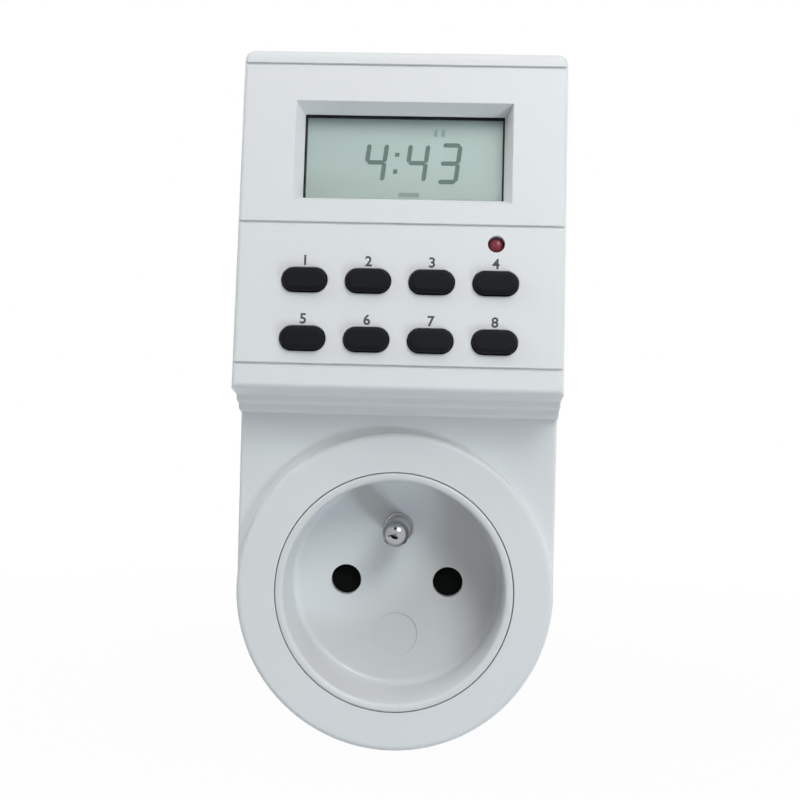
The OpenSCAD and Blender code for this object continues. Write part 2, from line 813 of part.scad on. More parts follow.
// A wire from a contact's leaf to the power board
function leaf_wire(x, board_x) = [
    [x, contact_root + contact_t + wire_dia / 2 + 0.1, boss_d - 0.9], [x * 0.9, 8, boss_d - 0.5],
    [x * 0.8, 12, rear_f + wall + 1.6], [board_x, 22, power_front_f], each wire_end(board_x)
];

// The end of a wire, over the power board's lower edge and down on to its pad
function wire_end(x) = [
    [x, power_low_z - 2, power_front_f + 2.6], [x, power_low_z + 4, power_front_f + 2.6],
    [x, power_low_z + 5, power_front_f + 1.4], [x, power_low_z + 5, power_front_f + 0.15]
];

module switched_wire() {
    color("firebrick") front() tube(smooth(leaf_wire(-pin_x + 0.9, -6), 2), wire_dia / 2, [1, 0, 0]);
}

module neutral_wire() {
    color("royalblue") front() tube(smooth(leaf_wire(pin_x - 0.9, 6), 2), wire_dia / 2, [1, 0, 0]);
}

module live_wire() {
    side_x = pin_x + 1.7;
    path = [
        [-pin_x, 0, pin_tail_f + 0.1], [-pin_x, 0, pin_tail_f + 2], [-side_x, 4, pin_tail_f + 3.5],
        [-side_x, 8.6, boss_d - 3], [-side_x, 8.7, rear_f + wall + 1], [-side_x - 0.8, 12, rear_f + wall + 2.4],
        [-14, 24, power_front_f], each wire_end(-14)
    ];
    color("saddlebrown") front() tube(smooth(path, 2), wire_dia / 2, [1, 0, 0]);
}

// ---- Keys -------------------------------------------------------------------

// The cap of a key: a straight middle between two half round ends, its upper edge rounded
module key_cap() {
    half_h = key_h / 2;
    straight = key_w - key_h;
    across(straight) polygon(rounded([
        [-half_h, -wall, 0], [half_h, -wall, 0], [half_h, key_proud, key_edge_r], [-half_h, key_proud, key_edge_r]
    ], key_arc_steps));
    mirrored() translate([straight / 2, 0, 0]) rotate(-90) rotate_extrude(angle = 180)
        polygon(rounded([[0, -wall, 0], [half_h, -wall, 0], [half_h, key_proud, key_edge_r], [0, key_proud, 0]],
            key_arc_steps));
}

module key(k) {
    color("black") on_face() translate([key_place(k)[0], key_place(k)[1], 0]) {
        key_cap();
        translate([0, 0, -wall - key_rim_t]) linear_extrude(key_rim_t) key_shape(key_rim);
        translate([0, 0, key_pad_gap - logic_n]) linear_extrude(logic_n - key_pad_gap - wall - key_rim_t / 2)
            square([key_stem_w, key_stem_h], center = true);
    }
}

module keypad_mat() {
    half = key_pitch_x * (key_cols - 1) / 2 + key_w / 2 + 0.9;
    low = key_row_v - key_h / 2 - 2;
    high = key_row_v + key_pitch_v * (key_rows - 1) + key_h / 2 + 2;
    well_top = wall + key_rim_t + key_travel + 0.3;
    color("dimgray") on_face() difference() {
        union() {
            translate([-half, low, -logic_n]) cube([2 * half, high - low, mat_t]);
            for (k = [0:key_count - 1]) translate([key_place(k)[0], key_place(k)[1], -logic_n])
                linear_extrude(logic_n - well_top) rounded_box(key_stem_w + 2 * mat_rim + 0.8, key_stem_h + 2 * mat_rim + 0.8, 1);
        }
        for (k = [0:key_count - 1]) translate([key_place(k)[0], key_place(k)[1], -logic_n - over])
            linear_extrude(logic_n) square([key_stem_w + 0.8, key_stem_h + 0.8], center = true);
    }
}

module reset_button() {
    r = reset_dia / 2;
    stem_end = logic_n - switch_top - reset_travel - 0.1;
    color("crimson") on_face() translate([reset_x, reset_v, 0]) rotate_extrude() polygon(rounded([
        [0, -stem_end, 0], [r - 0.3, -stem_end, 0], [r - 0.3, -wall - 0.8, 0], [reset_rim_dia / 2, -wall - 0.8, 0],
        [reset_rim_dia / 2, -wall, 0], [r, -wall, 0], [r, -reset_sunk, r - 0.3], [0, -reset_sunk, 0]
    ]));
}

module reset_switch() {
    color("dimgray") on_face() translate([reset_x, reset_v, -logic_n]) {
        linear_extrude(switch_top - 0.5) square(4.5, center = true);
        cylinder(switch_top, r = 0.9);
    }
}

// ---- Display ----------------------------------------------------------------

module display_lens() {
    color([0.8, 0.9, 0.9, 0.4]) on_face() translate([0, window_v, -window_deep - lens_t]) linear_extrude(lens_t)
        square([lens_w, lens_h], center = true);
}

module lcd_panel() {
    color("darkseagreen") on_face() translate([0, window_v, -lcd_n - lcd_t]) linear_extrude(lcd_t)
        square([lens_w, lens_h], center = true);
}

module display_frame() {
    color("darkgray") on_face() translate([0, window_v, -logic_n]) linear_extrude(logic_n - frame_n) difference() {
        square([lens_w + 2 * frame_wall, lens_h + 2 * frame_wall], center = true);
        square([lens_w + 2 * seat_gap, lens_h + 2 * seat_gap], center = true);
    }
}

module conductive_strips() {
    color("pink") on_face() for (side = [-1, 1])
        translate([0, window_v + side * (lens_h - strip_w) / 2, -logic_n]) linear_extrude(logic_n - lcd_n - lcd_t)
            square([lens_w - 4, strip_w], center = true);
}

// ---- Logic board ------------------------------------------------------------

module logic_board() {
    corner_v = (screw_top_z - block_z) / cos(face_tilt) - front_post_r - 0.8;
    color("seagreen") difference() {
        on_face() translate([-logic_half_w, logic_low_v, -logic_n - board_t])
            cube([2 * logic_half_w, logic_top_v - logic_low_v, board_t]);
        on_face() mirrored() translate([screw_x - front_post_r - 0.6, corner_v, -logic_n - board_t - over])
            cube([2 * front_post_r + half_w, logic_top_v, board_t + 2 * over]);
        on_face() mirrored() for (p = [logic_post_low, logic_post_top])
            translate([p[0], p[1], -logic_n - board_t - over]) cylinder(board_t + 2 * over, r = board_screw_dia / 2 + 0.2);
    }
}

// One self-tapping screw along +z, its head's seat at z = 0
module screw(shank_r, shank_len, head_r, head_h) {
    difference() {
        union() {
            cylinder(shank_len, r = shank_r);
            translate([0, 0, -head_h]) cylinder(head_h, r = head_r);
        }
        for (a = [0, 90]) rotate(a) translate([0, 0, -head_h]) cube([head_r * 1.3, head_r * 0.28, head_h], center = true);
    }
}

module logic_board_screws() {
    color("lightgray") on_face() mirrored() for (p = [logic_post_low, logic_post_top])
        translate([p[0], p[1], -logic_n - board_t])
            screw(board_screw_dia / 2, board_screw_len, board_head_dia / 2, board_head_h);
}

module case_screws() {
    color("lightgray") front() screw_places() translate([0, 0, screw_seat_f()])
        screw(screw_dia / 2, screw_len, screw_head_dia / 2, screw_head_h);
}

// Places a piece on the back of the logic board
module behind_logic(x, v) {
    on_face() translate([x, v, -logic_n - board_t]) mirror([0, 0, 1]) children();
}

module controller_chip() {
    color("black") behind_logic(1, window_v - 15) rotate_extrude()
        polygon(rounded([[0, 0, 0], [drop_dia / 2, 0, 0], [drop_dia / 2, drop_h, drop_h - 0.2], [0, drop_h, 0]]));
}

module clock_crystal() {
    color("silver") behind_logic(11, window_v - 17) translate([0, 0, crystal_dia / 2]) rotate([-90, 0, 0])
        cylinder(crystal_len, r = crystal_dia / 2);
}

module backup_battery() {
    color("lightgray") behind_logic(13, window_v + 2) rotate_extrude()
        polygon(rounded([[0, 0, 0], [cell_dia / 2, 0, 0.4], [cell_dia / 2, cell_t, 0.6], [0, cell_t, 0]]));
}

module ribbon_cable() {
    up = power_top_z - 10;
    from_f = power_front_f + 0.2;
    to_f = face_f(up, logic_n + board_t) - 1;
    bow = 3;
    chord = to_f - from_f;
    r = (chord * chord / 4 + bow * bow) / (2 * bow);
    color("lightsteelblue") front() translate([-8, 0, 0]) across(ribbon_w) intersection() {
        translate([up + bow - r, from_f + chord / 2]) difference() {
            circle(r, $fn = 96);
            circle(r - ribbon_t, $fn = 96);
        }
        translate([up - 2, from_f]) square([bow + 4, chord]);
    }
}

// ---- Power board ------------------------------------------------------------

module power_board() {
    color("peru") front() difference() {
        slab(power_f, power_front_f) translate([-power_half_w, power_low_z])
            square([2 * power_half_w, power_top_z - power_low_z]);
        power_posts() translate([0, 0, power_f - over]) cylinder(board_t + 2 * over, r = board_screw_dia / 2 + 0.2);
    }
}

module power_board_screws() {
    color("lightgray") front() power_posts() translate([0, 0, power_front_f]) mirror([0, 0, 1])
        screw(board_screw_dia / 2, board_screw_len - 0.5, board_head_dia / 2, board_head_h);
}

// Places a piece on the front of the power board
module on_power(x, up) {
    front() translate([x, power_low_z + up, power_front_f]) children();
}

module relay() {
    color("steelblue") on_power(-13.5, 20.5) {
        slab(0.3, relay_d) rounded_box(relay_w, relay_h, 0.6);
        slab(0, 1.4) rounded_box(relay_w + 0.6, relay_h + 0.6, 0.8);
    }
}

module mains_capacitor() {
    color("goldenrod") on_power(2, 20.5) slab(0, film_d) rounded_box(film_w, film_h, 0.6);
}

module smoothing_capacitor() {
    r = can_dia / 2;
    color("darkslateblue") on_power(14, 40) rotate_extrude()
        polygon(rounded([[0, 0, 0], [r, 0, 0.4], [r, can_len, 0.5], [0, can_len, 0]]));
}

module varistor() {
    r = disc_dia / 2;
    up = r + 0.5;
    color("royalblue") on_power(12, 14) translate([0, 0, up]) rotate([0, 90, 0]) {
        translate([0, 0, -disc_t / 2]) rotate_extrude()
            polygon(rounded([[0, 0, 0], [r, 0, 1], [r, disc_t, 1], [0, disc_t, 0]]));
        for (side = [-1, 1]) translate([r / 2, side * r / 2, 0]) rotate([0, 90, 0]) cylinder(up - r / 2, r = 0.4);
    }
}

module dropper_resistor() {
    color("tan") on_power(19, 18) {
        up = resistor_dia / 2 + 0.6;
        translate([0, resistor_len / 2, up]) rotate([90, 0, 0]) cylinder(resistor_len, r = resistor_dia / 2);
        for (side = [-1, 1]) translate([0, side * (resistor_len / 2 - 0.6), 0]) cylinder(up, r = 0.4);
    }
}

module rectifier_diodes() {
    up = diode_dia / 2 + 0.2;
    color("black") for (i = [0:3]) on_power(10.5 + diode_pitch * i, 30.5) {
        translate([0, diode_len / 2, up]) rotate([90, 0, 0]) cylinder(diode_len, r = diode_dia / 2);
        for (side = [-1, 1]) translate([0, side * (diode_len / 2 - 0.5), 0]) cylinder(up, r = 0.35);
    }
}

// ---- Nodes ------------------------------------------------------------------

front_housing();
rear_housing();
socket_cup();
display_lens();
lcd_panel();
display_frame();
conductive_strips();
keypad_mat();
key(0);  // key_1
key(1);  // key_2
key(2);  // key_3
key(3);  // key_4
key(4);  // key_5
key(5);  // key_6
key(6);  // key_7
key(7);  // key_8
reset_button();
reset_switch();
logic_board();
controller_chip();
clock_crystal();
backup_battery();
ribbon_cable();
logic_board_screws();
power_board();
power_board_screws();
relay();
mains_capacitor();
smoothing_capacitor();
varistor();
dropper_resistor();
rectifier_diodes();
contact_block();
live_contact();
neutral_contact();
safety_shutter();
shutter_spring();
front_earth_pin();
earth_clips();
rear_earth_contact();
live_plug_pin();
neutral_plug_pin();
neutral_bus();
live_wire();
switched_wire();
neutral_wire();
case_screws();
rating_plate();
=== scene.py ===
"""A plug-in timer switch, finished for the studio.

Metres, Z up, the socket and the display towards -Y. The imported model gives
every place and size; this script adds the finishes and the fine pieces.
"""

import json
import math

import bmesh
import bpy
from mathutils import Matrix, Vector


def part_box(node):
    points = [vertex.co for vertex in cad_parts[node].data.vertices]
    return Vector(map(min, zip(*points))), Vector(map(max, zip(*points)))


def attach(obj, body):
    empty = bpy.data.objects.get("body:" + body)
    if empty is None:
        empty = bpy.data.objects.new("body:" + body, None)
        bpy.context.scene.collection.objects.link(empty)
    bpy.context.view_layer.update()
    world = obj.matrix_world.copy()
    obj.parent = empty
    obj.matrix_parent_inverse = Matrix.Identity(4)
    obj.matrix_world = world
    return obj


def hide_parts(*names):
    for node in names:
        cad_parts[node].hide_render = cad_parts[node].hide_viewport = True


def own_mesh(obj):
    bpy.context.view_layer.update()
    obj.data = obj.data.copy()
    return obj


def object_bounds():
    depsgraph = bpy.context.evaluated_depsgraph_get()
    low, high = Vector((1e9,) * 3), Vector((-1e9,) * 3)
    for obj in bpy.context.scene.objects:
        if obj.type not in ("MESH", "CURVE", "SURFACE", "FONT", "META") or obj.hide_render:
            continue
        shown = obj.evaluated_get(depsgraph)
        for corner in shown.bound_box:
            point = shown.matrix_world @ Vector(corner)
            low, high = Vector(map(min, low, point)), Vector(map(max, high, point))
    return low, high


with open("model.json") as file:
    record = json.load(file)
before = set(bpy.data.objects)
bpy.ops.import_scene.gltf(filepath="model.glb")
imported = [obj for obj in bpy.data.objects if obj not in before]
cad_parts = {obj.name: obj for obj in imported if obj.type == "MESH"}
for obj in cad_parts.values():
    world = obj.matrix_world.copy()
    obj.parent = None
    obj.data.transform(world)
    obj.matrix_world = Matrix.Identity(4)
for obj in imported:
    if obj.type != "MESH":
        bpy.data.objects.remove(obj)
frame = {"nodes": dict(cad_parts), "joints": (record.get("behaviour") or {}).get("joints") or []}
cad_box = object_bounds()
nodes = frame["nodes"]
MM = 0.001

# ---- Sizes -------------------------------------------------------------------

WINDOW_OPEN_W = 34.8 * MM      # the opening at the clear window
WINDOW_OPEN_H = 14.9 * MM
GASKET_AND_SHADOW_TOP = 0.7 * MM          # how far the dark gasket shows along the top; this wide top bar is partly a painted shadow under the window's rim
GASKET_LEFT = 0.35 * MM
GASKET_RIGHT = 0.28 * MM
GASKET_BOTTOM = -0.1 * MM      # along the bottom it stays behind the window's rim
GASKET_BEHIND = 0.6 * MM       # how far it goes on behind the rim
GASKET_BEHIND_TOP = 0.8 * MM
RIM_OVER_TOP = 0.4 * MM        # how much of its top bar the rim hides from the front
GASKET_T = 0.05 * MM
GASKET_SUNK = 0.02 * MM        # how deep it sits in the display panel

DIGIT_H = 6.55 * MM            # between the middle lines of its top and bottom bars
DIGIT_W = 3.05 * MM
DIGIT_GAP = 0.15 * MM          # what a bar is shorter than the side it stands on
DIGIT_RISE = -0.66 * MM        # from the window's middle to the digits' middle
DIGIT_SLANT = math.radians(6.5)
STROKE_W = 0.78 * MM
INK_T = 0.05 * MM
INK_RISE = 0.3 * INK_T         # from the panel to the middle of the ink

NUMBER_H = 1.75 * MM           # printed numbers above the keys
NUMBER_RISE = 3.30 * MM        # from a key's middle to its number's middle
NUMBER_BOLD = 0.06 * MM
PRINT_T = 0.012 * MM
NUMBER_STEPS = 6               # to each of its curves
FONT_PER_DIGIT = 1.38          # the size of the font for digits one high
KEYS = range(1, 9)

SPRING_TURNS = 9.0
SPRING_WIRE = 0.3 * MM
COIL_STEPS = 20                # to a turn
WIRE_SIDES = 10

# ---- The sloping face --------------------------------------------------------


def joint_called(name):
    return next(j for j in frame["joints"] if j["name"] == name)


FACE_X = Vector((1, 0, 0))
FACE_N = -Vector(joint_called("key_1_press")["axis"]).normalized()
FACE_V = FACE_N.cross(FACE_X).normalized()
face_offset = max(v.co.dot(FACE_N) for v in nodes["front_housing"].data.vertices)


def face_spot(point):
    """Where a point lies on the face: across, up the slope, and proud of it."""
    return Vector((point.dot(FACE_X), point.dot(FACE_V), point.dot(FACE_N) - face_offset))


def face_matrix(x, v, n):
    """Puts a piece drawn flat, its front to +Z, on the sloping face."""
    origin = FACE_X * x + FACE_V * v + FACE_N * (face_offset + n)
    turn = Matrix((FACE_X, FACE_V, FACE_N)).transposed().to_4x4()
    return Matrix.Translation(origin) @ turn


def node_on_face(name):
    """The lowest and highest corner of a node, measured on the face."""
    spots = [face_spot(v.co) for v in nodes[name].data.vertices]
    low = Vector(min(s[i] for s in spots) for i in range(3))
    high = Vector(max(s[i] for s in spots) for i in range(3))
    return low, high


lens_low, lens_high = node_on_face("display_lens")
WINDOW_X = (lens_low.x + lens_high.x) / 2
WINDOW_V = (lens_low.y + lens_high.y) / 2
PANEL_N = node_on_face("lcd_panel")[1].z

# ---- Node trees --------------------------------------------------------------

MIX_FACTOR, MIX_FIRST, MIX_SECOND, MIX_RESULT = 0, 6, 7, 2     # a Mix node's colour sockets


def fill(tree, node, values):
    """Sets inputs. A value is a number, a colour, or another node's output to link."""
    for name, value in values.items():
        if isinstance(value, bpy.types.NodeSocket):
            tree.links.new(value, node.inputs[name])
        else:
            node.inputs[name].default_value = value


def put(tree, kind, settings=None, values=None):
    """One node, with its settings and its inputs."""
    node = tree.nodes.new(kind)
    for name, value in (settings or {}).items():
        setattr(node, name, value)
    fill(tree, node, values or {})
    return node


def math_of(tree, operation, a, b=0.0):
    return put(tree, "ShaderNodeMath", {"operation": operation}, {0: a, 1: b}).outputs[0]


def times(tree, a, b):
    return math_of(tree, "MULTIPLY", a, b)


def dot_of(tree, a, b):
    node = put(tree, "ShaderNodeVectorMath", {"operation": "DOT_PRODUCT"}, {0: a, 1: b})
    return node.outputs["Value"]


def split(tree, vector):
    return put(tree, "ShaderNodeSeparateXYZ", None, {0: vector}).outputs


def join(tree, **parts):
    return put(tree, "ShaderNodeCombineXYZ", None, parts).outputs[0]


def stretch(tree, value, low, high, to_low=0.0, to_high=1.0):
    """Takes the range low to high to another one, and stops at its ends."""
    return put(tree, "ShaderNodeMapRange", {"clamp": True},
               {"Value": value, "From Min": low, "From Max": high,
                "To Min": to_low, "To Max": to_high}).outputs[0]


def mix_colours(tree, factor, a, b):
    return put(tree, "ShaderNodeMix", {"data_type": "RGBA"},
               {MIX_FACTOR: factor, MIX_FIRST: a, MIX_SECOND: b}).outputs[MIX_RESULT]


def laid_over(tree, tone, colour, mask, strength):
    """A tone with a colour laid over it where the mask says, up to a strength."""
    return mix_colours(tree, times(tree, mask, strength), tone, colour)


def opaque(colour, share=1.0):
    """A colour with its alpha, lighter or darker by a share."""
    return tuple(min(1.0, c * share) for c in colour) + (1,)


def piece_place(tree):
    """The place on the piece, which every pattern reads."""
    return put(tree, "ShaderNodeTexCoord").outputs["Object"]


def mapped(tree, place, **how):
    return put(tree, "ShaderNodeMapping", None, {"Vector": place, **how}).outputs[0]


def noise(tree, place, per_metre, detail=2.0, **more):
    return put(tree, "ShaderNodeTexNoise", None,
               {"Vector": place, "Scale": per_metre, "Detail": detail, **more}).outputs[0]


def cells(tree, place, per_metre):
    """How far each place is from the nearest of many scattered points."""
    return put(tree, "ShaderNodeTexVoronoi", {"feature": "F1"},
               {"Vector": place, "Scale": per_metre}).outputs["Distance"]


def relief(tree, shader, depth, strength, height, **normal):
    """Feeds the shader a fine relief, over a softened Normal where one is given."""
    bumped = put(tree, "ShaderNodeBump", None,
                 {"Distance": depth, "Strength": strength, "Height": height, **normal})
    fill(tree, shader, {"Normal": bumped.outputs[0]})


def mixed_surface(tree, factor, first, second):
    """Makes a mix of two shaders the surface or the background."""
    both = put(tree, "ShaderNodeMixShader", None,
               {0: factor, 1: first.outputs[0], 2: second.outputs[0]})
    out = next(n for n in tree.nodes if n.type in ("OUTPUT_MATERIAL", "OUTPUT_WORLD"))
    fill(tree, out, {"Surface": both.outputs[0]})


# ---- Effects that several finishes share -------------------------------------

# Patches of each pattern to the metre
SLOW_WAVES = 90.0
HAND_SMEARS = 45.0
DUST_SPECKS = 900.0
DUST_PATCHES = 120.0
DIRT_AND_SHADE_BREAKS = 700.0
DRAWING_LINES = 2200.0
METAL_BLOOM = 260.0
BOARD_TRACKS = 240.0
BOARD_SPOTS = 330.0
INK_PATCHES = 2600.0
FLOOR_FIBRES = 400.0
CARD_FIBRES = 300.0

EFFECT_SAMPLES = 6             # of the rounding at edges and of the dirt in corners


def shader_group(name, inputs, outputs):
    """An empty group with its inputs (label to number) and outputs (label to kind)."""
    tree = bpy.data.node_groups.new(name, "ShaderNodeTree")
    for label, default in inputs.items():
        socket = tree.interface.new_socket(label, in_out="INPUT", socket_type="NodeSocketFloat")
        socket.default_value = default
    for label, kind in outputs.items():
        tree.interface.new_socket(label, in_out="OUTPUT", socket_type="NodeSocket" + kind)
    return tree, tree.nodes.new("NodeGroupInput").outputs, tree.nodes.new("NodeGroupOutput")


def moulded_grain_group():
    """The fine skin of a moulding: a spark-eroded grain and a slow waviness."""
    tree, given, out = shader_group(
        "moulded_grain", {"Grain Size": 0.2 * MM, "Grain": 1.0, "Waviness": 1.0},
        {"Height": "Float", "Tone": "Float"})
    place = piece_place(tree)
    per_metre = math_of(tree, "DIVIDE", 1.0, given["Grain Size"])
    fine = noise(tree, place, per_metre, detail=3.0, Roughness=0.6)
    slow = noise(tree, place, SLOW_WAVES)
    height = math_of(tree, "ADD", times(tree, fine, given["Grain"]),
                     times(tree, slow, given["Waviness"]))
    fill(tree, out, {"Height": height, "Tone": slow})
    return tree


def soft_edge_group():
    """The small rounding that every moulded or worked edge has, and a mask of it."""
    tree, given, out = shader_group(
        "soft_edge", {"Radius": 0.2 * MM}, {"Normal": "Vector", "Edge": "Float"})
    rounded = put(tree, "ShaderNodeBevel", {"samples": EFFECT_SAMPLES},
                  {"Radius": given["Radius"]}).outputs[0]
    flat = put(tree, "ShaderNodeNewGeometry").outputs["Normal"]
    edge = stretch(tree, dot_of(tree, rounded, flat), low=1.0, high=0.8)
    fill(tree, out, {"Normal": rounded, "Edge": edge})
    return tree


def handling_group():
    """Where fingers and cloths have been: broad smears and small specks."""
    tree, given, out = shader_group(
        "handling", {"Smear": 1.0, "Specks": 1.0}, {"Smeared": "Float", "Dusty": "Float"})
    place = piece_place(tree)
    smear = noise(tree, place, HAND_SMEARS, detail=5.0, Roughness=0.62, Distortion=0.6)
    smeared = stretch(tree, smear, low=0.42, high=0.72)
    specks = stretch(tree, cells(tree, place, DUST_SPECKS), low=0.10, high=0.05)
    patches = stretch(tree, noise(tree, place, DUST_PATCHES), low=0.55, high=0.7)
    dusty = times(tree, specks, patches)
    fill(tree, out, {"Smeared": times(tree, smeared, given["Smear"]),
                     "Dusty": times(tree, dusty, given["Specks"])})
    return tree


def corner_dirt_group():
    """Dust that stays in grooves and inner corners, and painted shade there."""
    tree, given, out = shader_group(
        "corner_dirt_and_shade", {"Reach": 1.0 * MM, "Amount": 0.5}, {"Dirt And Shade": "Float"})
    open_sky = put(tree, "ShaderNodeAmbientOcclusion", {"samples": EFFECT_SAMPLES},
                   {"Distance": given["Reach"]}).outputs["AO"]
    broken = noise(tree, piece_place(tree), DIRT_AND_SHADE_BREAKS, detail=3.0)
    # Painted shade: the less open a point is, the darker it gets, broken up by noise as dust would
    # be.
    deep = times(tree, stretch(tree, open_sky, low=0.75, high=0.1),
                 stretch(tree, broken, low=0.3, high=0.6, to_low=0.5))
    fill(tree, out, {"Dirt And Shade": times(tree, deep, given["Amount"])})
    return tree


GRAIN = moulded_grain_group()
SOFT_EDGE = soft_edge_group()
HANDLING = handling_group()
CORNER_DIRT_AND_SHADE = corner_dirt_group()


def use_group(tree, group, **values):
    """Places a group with its own values, and gives its outputs."""
    node = put(tree, "ShaderNodeGroup", {"node_tree": group})
    fill(tree, node, {name.replace("_", " "): value for name, value in values.items()})
    return node.outputs


# ---- Finishes ----------------------------------------------------------------

NOISE_RANGE = (0.3, 0.7)       # where a soft noise mostly stays
MASK_RANGE = (0.0, 1.0)
ROUGHER = 0.12                 # how much rougher a surface gets where it is worn or uneven
DIRT_AND_SHADE_REACH = 1.2 * MM          # how far out of a corner its dirt and painted shade come
BLACK, WHITE = (0, 0, 0, 1), (1, 1, 1, 1)
PALE_DUST = (0.25, 0.25, 0.24)
TIN = (0.62, 0.63, 0.62)
PANEL_GREEN, PANEL_GREENER = (0.268, 0.307, 0.292), (0.256, 0.302, 0.294)
PANEL_SHADED = (0.09, 0.12, 0.12)
BAND_HALF = 0.5 * MM           # printed bands, and how soft their edges are
BAND_EDGE = 0.05 * MM


def new_finish(name):
    """A material, the tree to add to, and its shader."""
    material = bpy.data.materials.new(name)
    material.use_nodes = True
    tree = material.node_tree
    shader = next(n for n in tree.nodes if n.type == "BSDF_PRINCIPLED")
    return material, tree, shader


def moulded_plastic(name, colour, worn_and_shaded, rough, grain_size=0.22 * MM, grain=0.5, waviness=0.6,
                    bump=0.02 * MM, edge=0.25 * MM, dirt_and_shade=0.10, smear=0.5, specks=0.35, gloss=0.5):
    """Satin or polished moulding, with its grain, soft edges, the dust of use and painted shade in
    its corners.
    """
    material, tree, shader = new_finish(name)
    skin = use_group(tree, GRAIN, Grain_Size=grain_size, Grain=grain, Waviness=waviness)
    edges = use_group(tree, SOFT_EDGE, Radius=edge)
    hands = use_group(tree, HANDLING, Smear=smear, Specks=specks)
    corners = use_group(tree, CORNER_DIRT_AND_SHADE, Reach=DIRT_AND_SHADE_REACH, Amount=dirt_and_shade)
    tone = laid_over(tree, opaque(colour), opaque(worn_and_shaded), skin["Tone"], strength=0.35)
    tone = laid_over(tree, tone, opaque(worn_and_shaded), hands["Smeared"], strength=0.18)
    # Painted shade, with some dust: darker in grooves and inner corners.
    tone = mix_colours(tree, corners["Dirt And Shade"], tone, opaque(worn_and_shaded, share=0.75))
    tone = mix_colours(tree, hands["Dusty"], tone, opaque(worn_and_shaded, share=0.8))
    fill(tree, shader, {
        "Base Color": tone, "Specular IOR Level": gloss,
        "Roughness": stretch(tree, hands["Smeared"], *MASK_RANGE, rough, rough + ROUGHER)})
    relief(tree, shader, depth=bump, strength=0.6, height=skin["Height"], Normal=edges["Normal"])
    return material


def dark_rubber(name, colour, rim, rough, rubbed=0.1, edge=0.3 * MM, gloss=0.12):
    """Silicone rubber: matt, a little lighter and smoother where it is rubbed."""
    material, tree, shader = new_finish(name)
    skin = use_group(tree, GRAIN, Grain_Size=0.14 * MM, Grain=0.8, Waviness=0.4)
    edges = use_group(tree, SOFT_EDGE, Radius=edge)
    hands = use_group(tree, HANDLING, Smear=0.8, Specks=0.5)
    tone = laid_over(tree, opaque(colour), opaque(rim), skin["Tone"], strength=0.5)
    tone = laid_over(tree, tone, opaque(rim), hands["Smeared"], strength=0.4)
    tone = laid_over(tree, tone, opaque(PALE_DUST), hands["Dusty"], strength=0.25)
    fill(tree, shader, {
        "Base Color": tone, "Specular IOR Level": gloss,
        "Roughness": stretch(tree, hands["Smeared"], *MASK_RANGE, rough + rubbed, rough)})
    relief(tree, shader, depth=0.02 * MM, strength=0.7, height=skin["Height"],
           Normal=edges["Normal"])
    return material


def plated_metal(name, colour, tarnish, rough, duller=0.15, drawn=(1, 1, 1), edge=0.15 * MM):
    """Plated or bare metal with drawing lines, faint tarnish and rubbed edges."""
    material, tree, shader = new_finish(name)
    place = piece_place(tree)
    scratches = noise(tree, mapped(tree, place, Scale=drawn), DRAWING_LINES, detail=3.0)
    bloom = noise(tree, place, METAL_BLOOM, detail=4.0)
    edges = use_group(tree, SOFT_EDGE, Radius=edge)
    tone = mix_colours(tree, stretch(tree, bloom, low=0.45, high=0.75),
                       opaque(colour), opaque(tarnish))
    tone = laid_over(tree, tone, opaque(colour, share=1.2), edges["Edge"], strength=0.3)
    fill(tree, shader, {
        "Base Color": tone, "Metallic": 1.0,
        "Roughness": stretch(tree, bloom, 0.3, 0.8, rough, rough + duller)})
    relief(tree, shader, depth=0.01 * MM, strength=0.4, height=scratches, Normal=edges["Normal"])
    return material


def lined_finish(name, colour, line_colour, along, per_metre, sharp, rough):
    """A finish crossed by regular lines, such as ribbon, carbon strips or sleeving."""
    material, tree, shader = new_finish(name)
    across = split(tree, piece_place(tree))[along]
    wave = math_of(tree, "SINE", times(tree, across, per_metre * math.tau))
    lines = stretch(tree, wave, low=-sharp, high=sharp)
    skin = use_group(tree, GRAIN, Grain_Size=0.2 * MM, Grain=0.6, Waviness=0.5)
    tone = mix_colours(tree, lines, opaque(colour), opaque(line_colour))
    tone = laid_over(tree, tone, opaque(colour, share=0.7), skin["Tone"], strength=0.2)
    fill(tree, shader, {
        "Base Color": tone,
        "Roughness": stretch(tree, skin["Tone"], *NOISE_RANGE, rough, rough + ROUGHER)})
    height = math_of(tree, "ADD", times(tree, lines, 2.0), skin["Height"])
    relief(tree, shader, depth=0.03 * MM, strength=0.5, height=height)
    return material


def circuit_board(name, resist, bare, track_glow):
    """Printed board: coloured resist over tracks, with tinned spots."""
    material, tree, shader = new_finish(name)
    flat = mapped(tree, piece_place(tree), Rotation=(math.pi / 2, 0, 0))
    tracks = put(tree, "ShaderNodeTexBrick", {"offset": 0.37, "squash": 0.6},
                 {"Vector": flat, "Scale": BOARD_TRACKS, "Mortar Size": 0.12,
                  "Mortar Smooth": 0.1, "Color1": BLACK, "Color2": (0.35, 0.35, 0.35, 1),
                  "Mortar": WHITE}).outputs[0]
    tinned = stretch(tree, cells(tree, flat, BOARD_SPOTS), low=0.20, high=0.16)
    skin = use_group(tree, GRAIN, Grain_Size=0.4 * MM, Grain=0.8, Waviness=0.8)
    tone = laid_over(tree, opaque(resist), opaque(bare), tracks, strength=track_glow)
    tone = laid_over(tree, tone, opaque(resist, share=0.6), skin["Tone"], strength=0.3)
    tone = mix_colours(tree, tinned, tone, opaque(TIN))
    fill(tree, shader, {
        "Base Color": tone, "Metallic": tinned,
        "Roughness": stretch(tree, skin["Tone"], *NOISE_RANGE, to_low=0.28, to_high=0.42)})
    height = math_of(tree, "ADD", times(tree, tinned, 2.0), tracks)
    relief(tree, shader, depth=0.04 * MM, strength=0.6, height=height)
    return material


